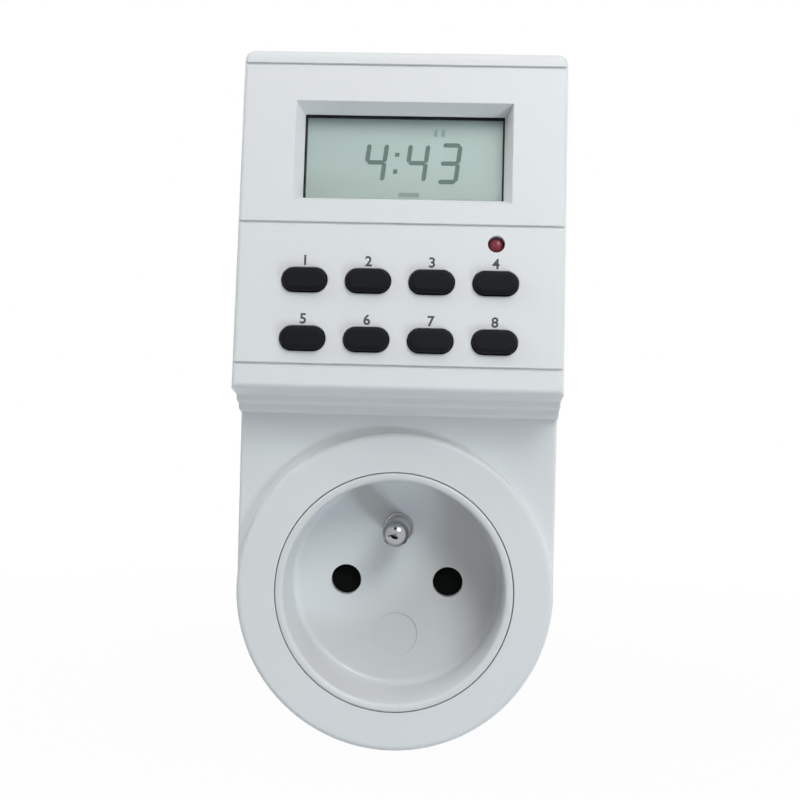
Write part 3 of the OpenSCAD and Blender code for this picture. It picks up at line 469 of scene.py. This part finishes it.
def clear_window():
    """The clear plastic window: it lets the light through to the display."""
    material, tree, shader = new_finish("clear_window")
    hands = use_group(tree, HANDLING, Smear=0.5, Specks=0.3)
    fill(tree, shader, {
        "Base Color": (0.97, 0.99, 0.985, 1), "Transmission Weight": 1.0, "IOR": 1.32,
        "Specular IOR Level": 0.2,
        "Roughness": stretch(tree, hands["Smeared"], *MASK_RANGE, to_low=0.015, to_high=0.06)})
    through = put(tree, "ShaderNodeBsdfTransparent", None, {"Color": (0.96, 0.98, 0.975, 1)})
    in_shadow = put(tree, "ShaderNodeLightPath").outputs["Is Shadow Ray"]
    mixed_surface(tree, in_shadow, shader, through)
    return material


def display_glass():
    """The liquid crystal panel: grey-green, with a painted shadow under the top of its frame."""
    material, tree, shader = new_finish("display_glass")
    up = dot_of(tree, piece_place(tree), tuple(FACE_V))
    top = WINDOW_V + WINDOW_OPEN_H / 2 - GASKET_AND_SHADOW_TOP
    # Painted shadow: the panel fades to PANEL_SHADED towards the top of the window, as if shaded
    # by the frame above.
    shade = stretch(tree, up, low=top - 3.4 * MM, high=top + 0.6 * MM)
    skin = use_group(tree, GRAIN, Grain_Size=0.12 * MM, Grain=0.8, Waviness=0.8)
    tone = laid_over(tree, opaque(PANEL_GREEN), opaque(PANEL_GREENER), skin["Tone"], strength=0.25)
    tone = mix_colours(tree, math_of(tree, "POWER", shade, 1.7), tone, opaque(PANEL_SHADED))
    fill(tree, shader, {
        "Base Color": tone, "Specular IOR Level": 0.3,
        "Roughness": stretch(tree, skin["Tone"], *NOISE_RANGE, to_low=0.42, to_high=0.5)})
    relief(tree, shader, depth=0.01 * MM, strength=0.3, height=skin["Height"])
    return material


def flat_ink(name, colour, thin_colour, rough=0.55, gloss=0.3):
    """Printed or liquid crystal ink, a little uneven over its area."""
    material, tree, shader = new_finish(name)
    uneven = noise(tree, piece_place(tree), INK_PATCHES)
    tone = mix_colours(tree, stretch(tree, uneven, low=0.35, high=0.7),
                       opaque(colour), opaque(thin_colour))
    fill(tree, shader, {
        "Base Color": tone, "Specular IOR Level": gloss,
        "Roughness": stretch(tree, uneven, *NOISE_RANGE, rough, rough + 0.1)})
    return material


def banded_part(name, body, bands, along, centre, pitch, rough):
    """A small part with printed bands round it, such as a resistor or a diode."""
    material, tree, shader = new_finish(name)
    place = split(tree, piece_place(tree))[along]
    skin = use_group(tree, GRAIN, Grain_Size=0.3 * MM, Grain=0.6, Waviness=0.6)
    tone = laid_over(tree, opaque(body), opaque(body, share=0.75), skin["Tone"], strength=0.3)
    for step, colour in bands:
        away = math_of(tree, "ABSOLUTE", math_of(tree, "SUBTRACT", place, centre + step * pitch))
        on_band = stretch(tree, away, low=BAND_HALF + BAND_EDGE, high=BAND_HALF - BAND_EDGE)
        tone = mix_colours(tree, on_band, tone, opaque(colour))
    fill(tree, shader, {
        "Base Color": tone,
        "Roughness": stretch(tree, skin["Tone"], *NOISE_RANGE, rough, rough + ROUGHER)})
    relief(tree, shader, depth=0.03 * MM, strength=0.5, height=skin["Height"])
    return material


# The case, the keys and the socket
# Painted shade, with some dust: its grooves and inner corners, such as under the ledges, are
# darkened.
case_plastic = moulded_plastic(
    "case_plastic", (0.812, 0.826, 0.840), (0.780, 0.788, 0.792), rough=0.42, dirt_and_shade=0.20)
# Painted shade: the same white plastic as the case, made darker to deepen the shade inside the
# socket.
cup_plastic_darkened_for_shade = moulded_plastic(
    "cup_plastic_darkened_for_shade", (0.775, 0.790, 0.800), (0.735, 0.745, 0.750), rough=0.30, grain=0.25,
    edge=0.3 * MM, gloss=0.55)
key_rubber = dark_rubber(
    "key_rubber", (0.006, 0.0065, 0.008), (0.014, 0.0145, 0.017), rough=0.5)
# Painted shade: strong darkening where the hole closes in round the button.
reset_plastic = moulded_plastic(
    "reset_plastic", (0.230, 0.022, 0.042), (0.190, 0.025, 0.040), rough=0.24, grain=0.2,
    edge=0.2 * MM, dirt_and_shade=0.4)
# Painted shade: near black, so that the pin holes in front of it read as deep shade.
shutter_dark = moulded_plastic(
    "shutter_dark", (0.003, 0.0036, 0.004), (0.006, 0.007, 0.007), rough=0.5, gloss=0.05)

# The display
lens_clear = clear_window()
lcd_glass = display_glass()
frame_grey = moulded_plastic("frame_grey", (0.42, 0.43, 0.44), (0.36, 0.37, 0.37), rough=0.5)
strip_rubber = lined_finish(
    "strip_rubber", (0.25, 0.25, 0.26), (0.02, 0.02, 0.022), along="X", per_metre=6000,
    sharp=0.2, rough=0.6)
gasket_and_shadow_black = dark_rubber(
    "gasket_and_shadow_black", (0.010, 0.011, 0.013), (0.018, 0.019, 0.021), rough=0.5)
digit_ink = flat_ink("digit_ink", (0.062, 0.092, 0.082), (0.080, 0.115, 0.102))
mark_ink = flat_ink("mark_ink", (0.150, 0.185, 0.180), (0.175, 0.215, 0.205))
number_ink = flat_ink("number_ink", (0.07, 0.07, 0.085), (0.11, 0.11, 0.125))

# Metal
bright_metal = plated_metal(
    "bright_metal", (0.55, 0.555, 0.565), (0.43, 0.42, 0.40), rough=0.16)
dark_nickel = plated_metal("dark_nickel", (0.38, 0.39, 0.40), (0.27, 0.27, 0.27), rough=0.07)
cell_steel = plated_metal(
    "cell_steel", (0.66, 0.66, 0.66), (0.52, 0.52, 0.51), rough=0.25, drawn=(1, 1, 8))
screw_steel = plated_metal("screw_steel", (0.60, 0.59, 0.56), (0.42, 0.40, 0.36), rough=0.28)
spring_steel = plated_metal("spring_steel", (0.50, 0.50, 0.50), (0.34, 0.33, 0.32), rough=0.3)
contact_brass = plated_metal(
    "contact_brass", (0.72, 0.50, 0.20), (0.46, 0.30, 0.12), rough=0.24)

# The boards and what they carry
mat_rubber = dark_rubber("mat_rubber", (0.060, 0.062, 0.068), (0.10, 0.10, 0.105), rough=0.55)
switch_plastic = moulded_plastic(
    "switch_plastic", (0.05, 0.05, 0.055), (0.08, 0.08, 0.08), rough=0.4)
board_green = circuit_board(
    "board_green", (0.010, 0.110, 0.045), (0.03, 0.26, 0.10), track_glow=0.6)
board_tan = circuit_board(
    "board_tan", (0.300, 0.170, 0.070), (0.42, 0.27, 0.13), track_glow=0.5)
chip_black = moulded_plastic(
    "chip_black", (0.018, 0.018, 0.020), (0.035, 0.035, 0.035), rough=0.5, grain=1.0)
relay_blue = moulded_plastic(
    "relay_blue", (0.020, 0.090, 0.380), (0.030, 0.110, 0.330), rough=0.32)
capacitor_yellow = moulded_plastic(
    "capacitor_yellow", (0.740, 0.470, 0.050), (0.640, 0.400, 0.060), rough=0.38)
capacitor_sleeve = lined_finish(
    "capacitor_sleeve", (0.015, 0.020, 0.045), (0.05, 0.07, 0.14), along="Z", per_metre=330,
    sharp=0.1, rough=0.3)
varistor_blue = moulded_plastic(
    "varistor_blue", (0.025, 0.150, 0.330), (0.040, 0.170, 0.300), rough=0.3, waviness=1.2)
resistor_tan = banded_part(
    "resistor_tan", (0.50, 0.36, 0.20),
    bands=[(-1.5, (0.20, 0.08, 0.03)), (-0.5, (0.02, 0.02, 0.02)), (0.5, (0.45, 0.16, 0.02)),
           (1.8, (0.45, 0.34, 0.08))],
    along="Z", centre=51 * MM, pitch=1.6 * MM, rough=0.35)
diode_black = banded_part(
    "diode_black", (0.02, 0.02, 0.022), bands=[(0, (0.55, 0.55, 0.55))],
    along="Z", centre=64.5 * MM, pitch=1 * MM, rough=0.3)
block_grey = moulded_plastic("block_grey", (0.30, 0.31, 0.31), (0.24, 0.24, 0.24), rough=0.5)

# Wires
ribbon_grey = lined_finish(
    "ribbon_grey", (0.45, 0.46, 0.48), (0.24, 0.25, 0.26), along="X", per_metre=787,
    sharp=0.35, rough=0.42)
wire_brown = moulded_plastic(
    "wire_brown", (0.130, 0.045, 0.018), (0.110, 0.050, 0.025), rough=0.36)
wire_red = moulded_plastic(
    "wire_red", (0.420, 0.020, 0.018), (0.330, 0.030, 0.025), rough=0.36)
wire_blue = moulded_plastic(
    "wire_blue", (0.015, 0.090, 0.340), (0.030, 0.110, 0.290), rough=0.36)

FINISHES = {
    case_plastic: ["front_housing", "rear_housing", "rating_plate"],
    cup_plastic_darkened_for_shade: ["socket_cup"],
    key_rubber: ["key_%d" % key for key in KEYS],
    reset_plastic: ["reset_button"],
    lens_clear: ["display_lens"],
    lcd_glass: ["lcd_panel"],
    frame_grey: ["display_frame"],
    strip_rubber: ["conductive_strips"],
    mat_rubber: ["keypad_mat"],
    switch_plastic: ["reset_switch"],
    board_green: ["logic_board"],
    board_tan: ["power_board"],
    chip_black: ["controller_chip"],
    dark_nickel: ["front_earth_pin"],
    bright_metal: ["clock_crystal", "earth_clips", "live_plug_pin", "neutral_plug_pin"],
    cell_steel: ["backup_battery"],
    screw_steel: ["case_screws", "logic_board_screws", "power_board_screws"],
    ribbon_grey: ["ribbon_cable"],
    relay_blue: ["relay"],
    capacitor_yellow: ["mains_capacitor"],
    capacitor_sleeve: ["smoothing_capacitor"],
    varistor_blue: ["varistor"],
    resistor_tan: ["dropper_resistor"],
    diode_black: ["rectifier_diodes"],
    block_grey: ["contact_block"],
    shutter_dark: ["safety_shutter"],
    contact_brass: ["live_contact", "neutral_contact", "neutral_bus", "rear_earth_contact"],
    spring_steel: ["shutter_spring"],
    wire_brown: ["live_wire"],
    wire_red: ["switched_wire"],
    wire_blue: ["neutral_wire"],
}
for finish, names in FINISHES.items():
    for name in names:
        for material_slot in nodes[name].material_slots:
            material_slot.material = finish

# ---- Making pieces -----------------------------------------------------------


def new_piece(name, mesh, matrix, body, material):
    """A finished piece: its place goes into its mesh, and it rides on a body."""
    mesh.name = name
    mesh.transform(matrix)
    mesh.materials.clear()
    mesh.materials.append(material)
    piece = bpy.data.objects.new(name, mesh)
    bpy.context.scene.collection.objects.link(piece)
    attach(piece, body)
    return piece


def flat_frame(name, outer, inner, thick):
    """A flat frame between two rectangles (x0, y0, x1, y1), its back at z = 0."""
    bm = bmesh.new()
    rings = []
    for z in (0.0, thick):
        for x0, y0, x1, y1 in (outer, inner):
            corners = ((x0, y0, z), (x1, y0, z), (x1, y1, z), (x0, y1, z))
            rings.append([bm.verts.new(corner) for corner in corners])
    low_out, low_in, top_out, top_in = rings
    for i in range(4):
        k = (i + 1) % 4
        bm.faces.new((top_out[i], top_out[k], top_in[k], top_in[i]))
        bm.faces.new((low_out[k], low_out[i], low_in[i], low_in[k]))
        bm.faces.new((low_out[i], low_out[k], top_out[k], top_out[i]))
        bm.faces.new((low_in[k], low_in[i], top_in[i], top_in[k]))
    bmesh.ops.recalc_face_normals(bm, faces=bm.faces)
    mesh = bpy.data.meshes.new(name)
    bm.to_mesh(mesh)
    bm.free()
    return mesh


def plain_mesh(carrier):
    """What an object with text or a tree comes to, as a plain mesh; the object goes."""
    bpy.context.scene.collection.objects.link(carrier)
    bpy.context.view_layer.update()
    depsgraph = bpy.context.evaluated_depsgraph_get()
    seen = carrier.evaluated_get(depsgraph)
    mesh = bpy.data.meshes.new_from_object(seen, depsgraph=depsgraph)
    carrier.modifiers.clear()
    bpy.data.objects.remove(carrier)
    return mesh


def geometry_tree(name, start, sizes):
    """An empty geometry tree: what it starts from, if anything, its sizes and its finish."""
    tree = bpy.data.node_groups.new(name, "GeometryNodeTree")
    sockets = tree.interface
    if start:
        sockets.new_socket(start, in_out="INPUT", socket_type="NodeSocketGeometry")
    for label, size in sizes.items():
        socket = sockets.new_socket(label, in_out="INPUT", socket_type="NodeSocketFloat")
        socket.default_value = size
    sockets.new_socket("Finish", in_out="INPUT", socket_type="NodeSocketMaterial")
    sockets.new_socket("Mesh", in_out="OUTPUT", socket_type="NodeSocketGeometry")
    return tree, tree.nodes.new("NodeGroupInput").outputs, tree.nodes.new("NodeGroupOutput")


def mesh_of_tree(tree, start, wanted):
    """Runs a geometry tree once, with the inputs that are wanted, on a starting mesh."""
    carrier = bpy.data.objects.new(tree.name + "_carrier", start)
    layer = carrier.modifiers.new(tree.name, "NODES")
    layer.node_group = tree
    for socket in tree.interface.items_tree:
        if socket.in_out == "INPUT" and socket.name in wanted:
            layer[socket.identifier] = wanted[socket.name]
    return plain_mesh(carrier)


# ---- The shutter's spring ----------------------------------------------------


def spring_tree():
    """A round wire wound at an even pitch, standing on z = 0."""
    tree, given, out = geometry_tree(
        "wound_spring", None,
        {"Turns": SPRING_TURNS, "Coil Radius": 1.0 * MM, "Height": 10.0 * MM, "Wire": SPRING_WIRE})
    coil = put(tree, "GeometryNodeCurveSpiral", None,
               {"Resolution": COIL_STEPS, "Rotations": given["Turns"],
                "Start Radius": given["Coil Radius"], "End Radius": given["Coil Radius"],
                "Height": given["Height"]}).outputs[0]
    wire = put(tree, "GeometryNodeCurvePrimitiveCircle", None,
               {"Resolution": WIRE_SIDES, "Radius": times(tree, given["Wire"], 0.5)}).outputs[0]
    wound = put(tree, "GeometryNodeCurveToMesh", None,
                {"Curve": coil, "Profile Curve": wire, "Fill Caps": True}).outputs[0]
    finished = put(tree, "GeometryNodeSetMaterial", None,
                   {"Geometry": wound, "Material": given["Finish"]}).outputs[0]
    fill(tree, out, {"Mesh": finished})
    return tree


spring_low, spring_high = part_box("shutter_spring")
spring_across = spring_high.x - spring_low.x
spring_tall = spring_high.z - spring_low.z
spring_seat = Vector(((spring_low.x + spring_high.x) / 2, (spring_low.y + spring_high.y) / 2,
                      spring_low.z))
coil_mesh = mesh_of_tree(
    spring_tree(), bpy.data.meshes.new("spring_start"),
    {"Turns": SPRING_TURNS, "Coil Radius": (spring_across - SPRING_WIRE) / 2,
     "Height": spring_tall - SPRING_WIRE, "Wire": SPRING_WIRE, "Finish": spring_steel})
coil = new_piece("shutter_coil", coil_mesh,
                 Matrix.Translation(spring_seat + Vector((0, 0, SPRING_WIRE / 2))),
                 "case", spring_steel)
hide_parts("shutter_spring")
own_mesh(coil)

# ---- The display -------------------------------------------------------------

BAR_HALF = 0.5                 # a bar is drawn one long, and its point starts at the shoulder
BAR_SHOULDER = 0.4
FLAT, UPRIGHT = 0.0, math.pi / 2

LIT = {"4": "fgbc", "3": "abgcd"}
# Digit middles, measured from the middle of the window
DIGITS = [("4", -4.97 * MM), ("4", 2.26 * MM), ("3", 7.87 * MM)]


def segment_tree():
    """Display segments: on every point a bar with pointed ends, turned and stretched."""
    tree, given, out = geometry_tree(
        "display_segments", "Points",
        {"Stroke Width": STROKE_W, "Thickness": INK_T, "Point": 0.5, "Slant": 0.0})
    bar = put(tree, "GeometryNodeMeshCube", None,
              {"Size": (1.0, 1.0, 1.0), "Vertices X": 4, "Vertices Y": 3,
               "Vertices Z": 2}).outputs["Mesh"]
    place = put(tree, "GeometryNodeInputPosition").outputs[0]
    part = split(tree, place)
    at_end = math_of(tree, "GREATER_THAN", math_of(tree, "ABSOLUTE", part["X"]), BAR_SHOULDER)
    reach = math_of(tree, "ADD", times(tree, at_end, BAR_HALF - BAR_SHOULDER), BAR_SHOULDER)
    pinched = math_of(tree, "SUBTRACT", 1.0, times(tree, at_end, given["Point"]))
    along = times(tree, math_of(tree, "SIGN", part["X"]), reach)
    pointed = join(tree, X=along, Y=times(tree, part["Y"], pinched), Z=part["Z"])
    bar = put(tree, "GeometryNodeSetPosition", None,
              {"Geometry": bar, "Position": pointed}).outputs[0]

    length, turn = (
        put(tree, "GeometryNodeInputNamedAttribute", {"data_type": "FLOAT"},
            {"Name": label}).outputs[0] for label in ("length", "turn"))
    size = join(tree, X=length, Y=given["Stroke Width"], Z=given["Thickness"])
    bars = put(tree, "GeometryNodeInstanceOnPoints", None,
               {"Points": given["Points"], "Instance": bar, "Rotation": join(tree, Z=turn),
                "Scale": size}).outputs[0]
    solid = put(tree, "GeometryNodeRealizeInstances", None, {"Geometry": bars}).outputs[0]

    lean = times(tree, split(tree, place)["Y"], math_of(tree, "TANGENT", given["Slant"]))
    slanted = put(tree, "GeometryNodeSetPosition", None,
                  {"Geometry": solid, "Offset": join(tree, X=lean)}).outputs[0]
    inked = put(tree, "GeometryNodeSetMaterial", None,
                {"Geometry": slanted, "Material": given["Finish"]}).outputs[0]
    fill(tree, out, {"Mesh": inked})
    return tree


def points_mesh(name, bars):
    """Loose points with the length and the turn of the bar that stands on each."""
    mesh = bpy.data.meshes.new(name)
    mesh.from_pydata([(x, y, 0.0) for x, y, _, _ in bars], [], [])
    for label, column in (("length", 2), ("turn", 3)):
        attribute = mesh.attributes.new(label, "FLOAT", "POINT")
        attribute.data.foreach_set("value", [bar[column] for bar in bars])
    return mesh


def digit_bars(character, x):
    """The lit bars of one digit: middle, length and turn of each."""
    half, up = DIGIT_W / 2, DIGIT_H / 2
    flat, tall = DIGIT_W - DIGIT_GAP, up - DIGIT_GAP
    bars = {
        "a": (x, up, flat, FLAT), "g": (x, 0.0, flat, FLAT), "d": (x, -up, flat, FLAT),
        "f": (x - half, up / 2, tall, UPRIGHT), "b": (x + half, up / 2, tall, UPRIGHT),
        "e": (x - half, -up / 2, tall, UPRIGHT), "c": (x + half, -up / 2, tall, UPRIGHT),
    }
    return [bars[letter] for letter in LIT[character]]


# Bars: across and up from the mark's middle, length, turn
digits = [bar for character, x in DIGITS for bar in digit_bars(character, x)]
colon = [(-1.42 * MM, 1.42 * MM, 0.8 * MM, FLAT), (-1.35 * MM, -1.6 * MM, 0.85 * MM, UPRIGHT)]
half_day_mark = [(x * MM, 0.0, 1.3 * MM, UPRIGHT) for x in (5.4, 6.7)]
day_mark = [(x * MM, 0.0, 0.9 * MM, FLAT) for x in (-0.4, 0.5, 1.4, 2.3)]

DISPLAY_MARKS = [
    # name, bars, rise from the window's middle, stroke, slant, how pinched its ends are, ink
    ("display_digits", digits, DIGIT_RISE, STROKE_W, DIGIT_SLANT, 0.5, digit_ink),
    ("display_colon", colon, DIGIT_RISE, 0.72 * MM, DIGIT_SLANT, 0.35, digit_ink),
    ("display_half_day_mark", half_day_mark, 4.75 * MM, 0.62 * MM, 0.0, 0.2, mark_ink),
    ("display_day_mark", day_mark, -6.4 * MM, 0.8 * MM, 0.0, 0.1, mark_ink),
]
segments = segment_tree()
for name, bars, rise, stroke, slant, point, ink in DISPLAY_MARKS:
    drawn = mesh_of_tree(
        segments, points_mesh(name + "_points", bars),
        {"Stroke Width": stroke, "Thickness": INK_T, "Point": point, "Slant": slant,
         "Finish": ink})
    new_piece(name, drawn, face_matrix(WINDOW_X, WINDOW_V + rise, PANEL_N + INK_RISE),
              "case", ink)

# The window's rim hides the outer part of the gasket, so it is wider than what shows.
half_w, half_h = WINDOW_OPEN_W / 2, WINDOW_OPEN_H / 2
# Partly painted shade: the black top bar, wider than the sides, stands in for the shadow gap under
# the window's top rim.
gasket = flat_frame(
    "display_gasket_and_shadow",
    outer=(-half_w - GASKET_BEHIND, -half_h - GASKET_BEHIND,
           half_w + GASKET_BEHIND, half_h + GASKET_BEHIND_TOP),
    inner=(-half_w + GASKET_LEFT, -half_h + GASKET_BOTTOM,
           half_w - GASKET_RIGHT, half_h + RIM_OVER_TOP - GASKET_AND_SHADOW_TOP),
    thick=GASKET_T)
new_piece("display_gasket_and_shadow", gasket, face_matrix(WINDOW_X, WINDOW_V, PANEL_N - GASKET_SUNK),
          "case", gasket_and_shadow_black)

# ---- Printed numbers ---------------------------------------------------------


def printed_number(text):
    """A number as a thin closed mesh, its middle at the origin."""
    curve = bpy.data.curves.new("number_" + text, "FONT")
    curve.body = text
    curve.size = NUMBER_H * FONT_PER_DIGIT
    curve.align_x = "CENTER"
    curve.align_y = "CENTER"
    curve.extrude = PRINT_T
    curve.offset = NUMBER_BOLD
    curve.resolution_u = NUMBER_STEPS
    return plain_mesh(bpy.data.objects.new("number_" + text, curve))


for key in KEYS:
    key_low, key_high = node_on_face("key_%d" % key)
    middle = (key_low + key_high) / 2
    new_piece("key_number_%d" % key, printed_number(str(key)),
              face_matrix(middle.x, middle.y + NUMBER_RISE, 0.0), "case", number_ink)

# ---- Studio ------------------------------------------------------------------

FLOOR_Z = cad_box[0][2] - 0.2 * MM
FLOOR_HALF = 2.5
FLOOR_GREY, FIBRE_GREY = (0.42, 0.42, 0.42), (0.38, 0.38, 0.38)
CARD_BLACK, CARD_FIBRE = (0.010, 0.010, 0.010), (0.020, 0.020, 0.020)
FLOOR_WHITE = 0.97             # how white the floor is to the camera close to the timer
NEAR, FAR = 0.05, 0.22         # where it starts to get whiter, and where it is all white


def looked_at(tree):
    """1 where the camera looks, also through or by way of a clear or polished surface."""
    rays = put(tree, "ShaderNodeLightPath").outputs
    by_way = math_of(tree, "MAXIMUM", rays["Is Glossy Ray"], rays["Is Transmission Ray"])
    return math_of(tree, "MAXIMUM", rays["Is Camera Ray"], by_way)


def studio_floor():
    """A pale floor: white to the camera, and it keeps the shadow under the timer."""
    bm = bmesh.new()
    bmesh.ops.create_grid(bm, x_segments=4, y_segments=4, size=FLOOR_HALF)
    mesh = bpy.data.meshes.new("studio_floor")
    bm.to_mesh(mesh)
    bm.free()
    mesh.transform(Matrix.Translation((0, 0, FLOOR_Z)))
    floor = bpy.data.objects.new("studio_floor", mesh)
    bpy.context.scene.collection.objects.link(floor)
    material, tree, shader = new_finish("floor_paper")
    place = piece_place(tree)
    fibres = noise(tree, place, FLOOR_FIBRES, detail=3.0)
    tone = laid_over(tree, opaque(FLOOR_GREY), opaque(FIBRE_GREY), fibres, strength=0.1)
    fill(tree, shader, {"Base Color": tone, "Roughness": 0.9})
    glow = put(tree, "ShaderNodeEmission", None, {"Color": WHITE, "Strength": 1.0})
    away = put(tree, "ShaderNodeVectorMath", {"operation": "LENGTH"}, {0: place}).outputs["Value"]
    white = stretch(tree, away, NEAR, FAR, to_low=FLOOR_WHITE)
    mixed_surface(tree, times(tree, looked_at(tree), white), shader, glow)
    mesh.materials.append(material)
    floor.visible_shadow = False


def dark_card(name, low, high):
    """A black card that only shows in polished surfaces, as a studio flag does."""
    (x0, y0, z0), (x1, y1, z1) = low, high
    corners = [(x0, y0, z0), (x1, y0, z0), (x1, y1, z1), (x0, y1, z1)]
    mesh = bpy.data.meshes.new(name)
    mesh.from_pydata(corners, [], [(0, 1, 2, 3)])
    card = bpy.data.objects.new(name, mesh)
    bpy.context.scene.collection.objects.link(card)
    material, tree, shader = new_finish(name + "_paper")
    fibres = noise(tree, piece_place(tree), CARD_FIBRES)
    tone = mix_colours(tree, fibres, opaque(CARD_BLACK), opaque(CARD_FIBRE))
    fill(tree, shader, {"Base Color": tone, "Roughness": 1.0, "Specular IOR Level": 0.0})
    mesh.materials.append(material)
    for kind in ("camera", "diffuse", "transmission", "shadow", "volume_scatter"):
        setattr(card, "visible_" + kind, False)


def studio_world():
    """White where the camera looks; the lamps alone light the timer."""
    world = bpy.data.worlds.new("studio")
    bpy.context.scene.world = world
    world.use_nodes = True
    tree = world.node_tree
    tree.nodes.clear()
    put(tree, "ShaderNodeOutputWorld")
    unlit = put(tree, "ShaderNodeBackground", None, {"Strength": 0.0})
    white = put(tree, "ShaderNodeBackground", None, {"Color": WHITE, "Strength": 1.0})
    mixed_surface(tree, looked_at(tree), unlit, white)


def soft_lamp(name, place, size, watts, colour):
    """A square lamp that faces the middle of the timer."""
    data = bpy.data.lights.new(name, "AREA")
    data.shape = "RECTANGLE"
    data.size = data.size_y = size
    data.energy = watts
    data.color = colour
    lamp = bpy.data.objects.new(name, data)
    bpy.context.scene.collection.objects.link(lamp)
    lamp.location = place
    lamp.rotation_euler = (MIDDLE - Vector(place)).to_track_quat("-Z", "Y").to_euler()
    lamp.visible_camera = False
    lamp.visible_glossy = name == GLEAMING_LAMP


MIDDLE = Vector((0.0, -0.045, 0.03))
GLEAMING_LAMP = "key_lamp"     # the only one that shows in polished surfaces
LAMPS = [
    # name, place, size, watts, colour
    ("overhead_lamp", (0.05, -0.24, 0.36), 0.30, 0.61, (1.0, 0.93, 0.98)),
    ("key_lamp", (0.20, -0.50, 0.35), 0.22, 1.28, (0.93, 1.0, 0.96)),
    ("upper_left_lamp", (-0.48, -0.14, 0.32), 0.25, 1.08, (0.90, 1.0, 0.98)),
    ("low_right_lamp", (0.31, -0.40, -0.29), 0.12, 0.80, (0.78, 0.90, 1.0)),
    ("right_lamp", (0.54, -0.30, 0.0), 0.35, 0.16, (1.0, 0.70, 0.60)),
    ("rear_lamp", (-0.40, 0.55, 0.30), 0.50, 3.6, (1.0, 1.0, 1.0)),
    ("rear_right_lamp", (0.55, 0.22, 0.18), 0.40, 1.2, (1.0, 1.0, 1.0)),
]
FLOOR_FLAG_Z = FLOOR_Z + 2 * MM
FLAGS = [
    # name, low corner, high corner
    ("window_flag", (-0.055, -0.250, 0.125), (0.050, -0.250, 0.215)),
    ("floor_flag", (-0.14, -0.42, FLOOR_FLAG_Z), (0.02, -0.12, FLOOR_FLAG_Z)),
]
studio_floor()
studio_world()
for lamp in LAMPS:
    soft_lamp(*lamp)
for flag in FLAGS:
    dark_card(*flag)

# ---- Camera ------------------------------------------------------------------

LENS, SENSOR = 55.4, 36.0      # both in millimetres
NEAREST = 0.01
EYE_PLACE = (0.0078, -0.2666, 0.0323)
EYE_TURN = (90.38, 2.0, 1.41)  # degrees: tilt, lean, and turn about the upright

eye = bpy.data.cameras.new("studio_camera")
eye.sensor_width = SENSOR
eye.lens = LENS
eye.clip_start = NEAREST
camera = bpy.data.objects.new("studio_camera", eye)
bpy.context.scene.collection.objects.link(camera)
camera.rotation_mode = "ZYX"
camera.location = EYE_PLACE
camera.rotation_euler = [math.radians(angle) for angle in EYE_TURN]
bpy.context.scene.camera = camera
bpy.context.scene.view_settings.view_transform = "Standard"
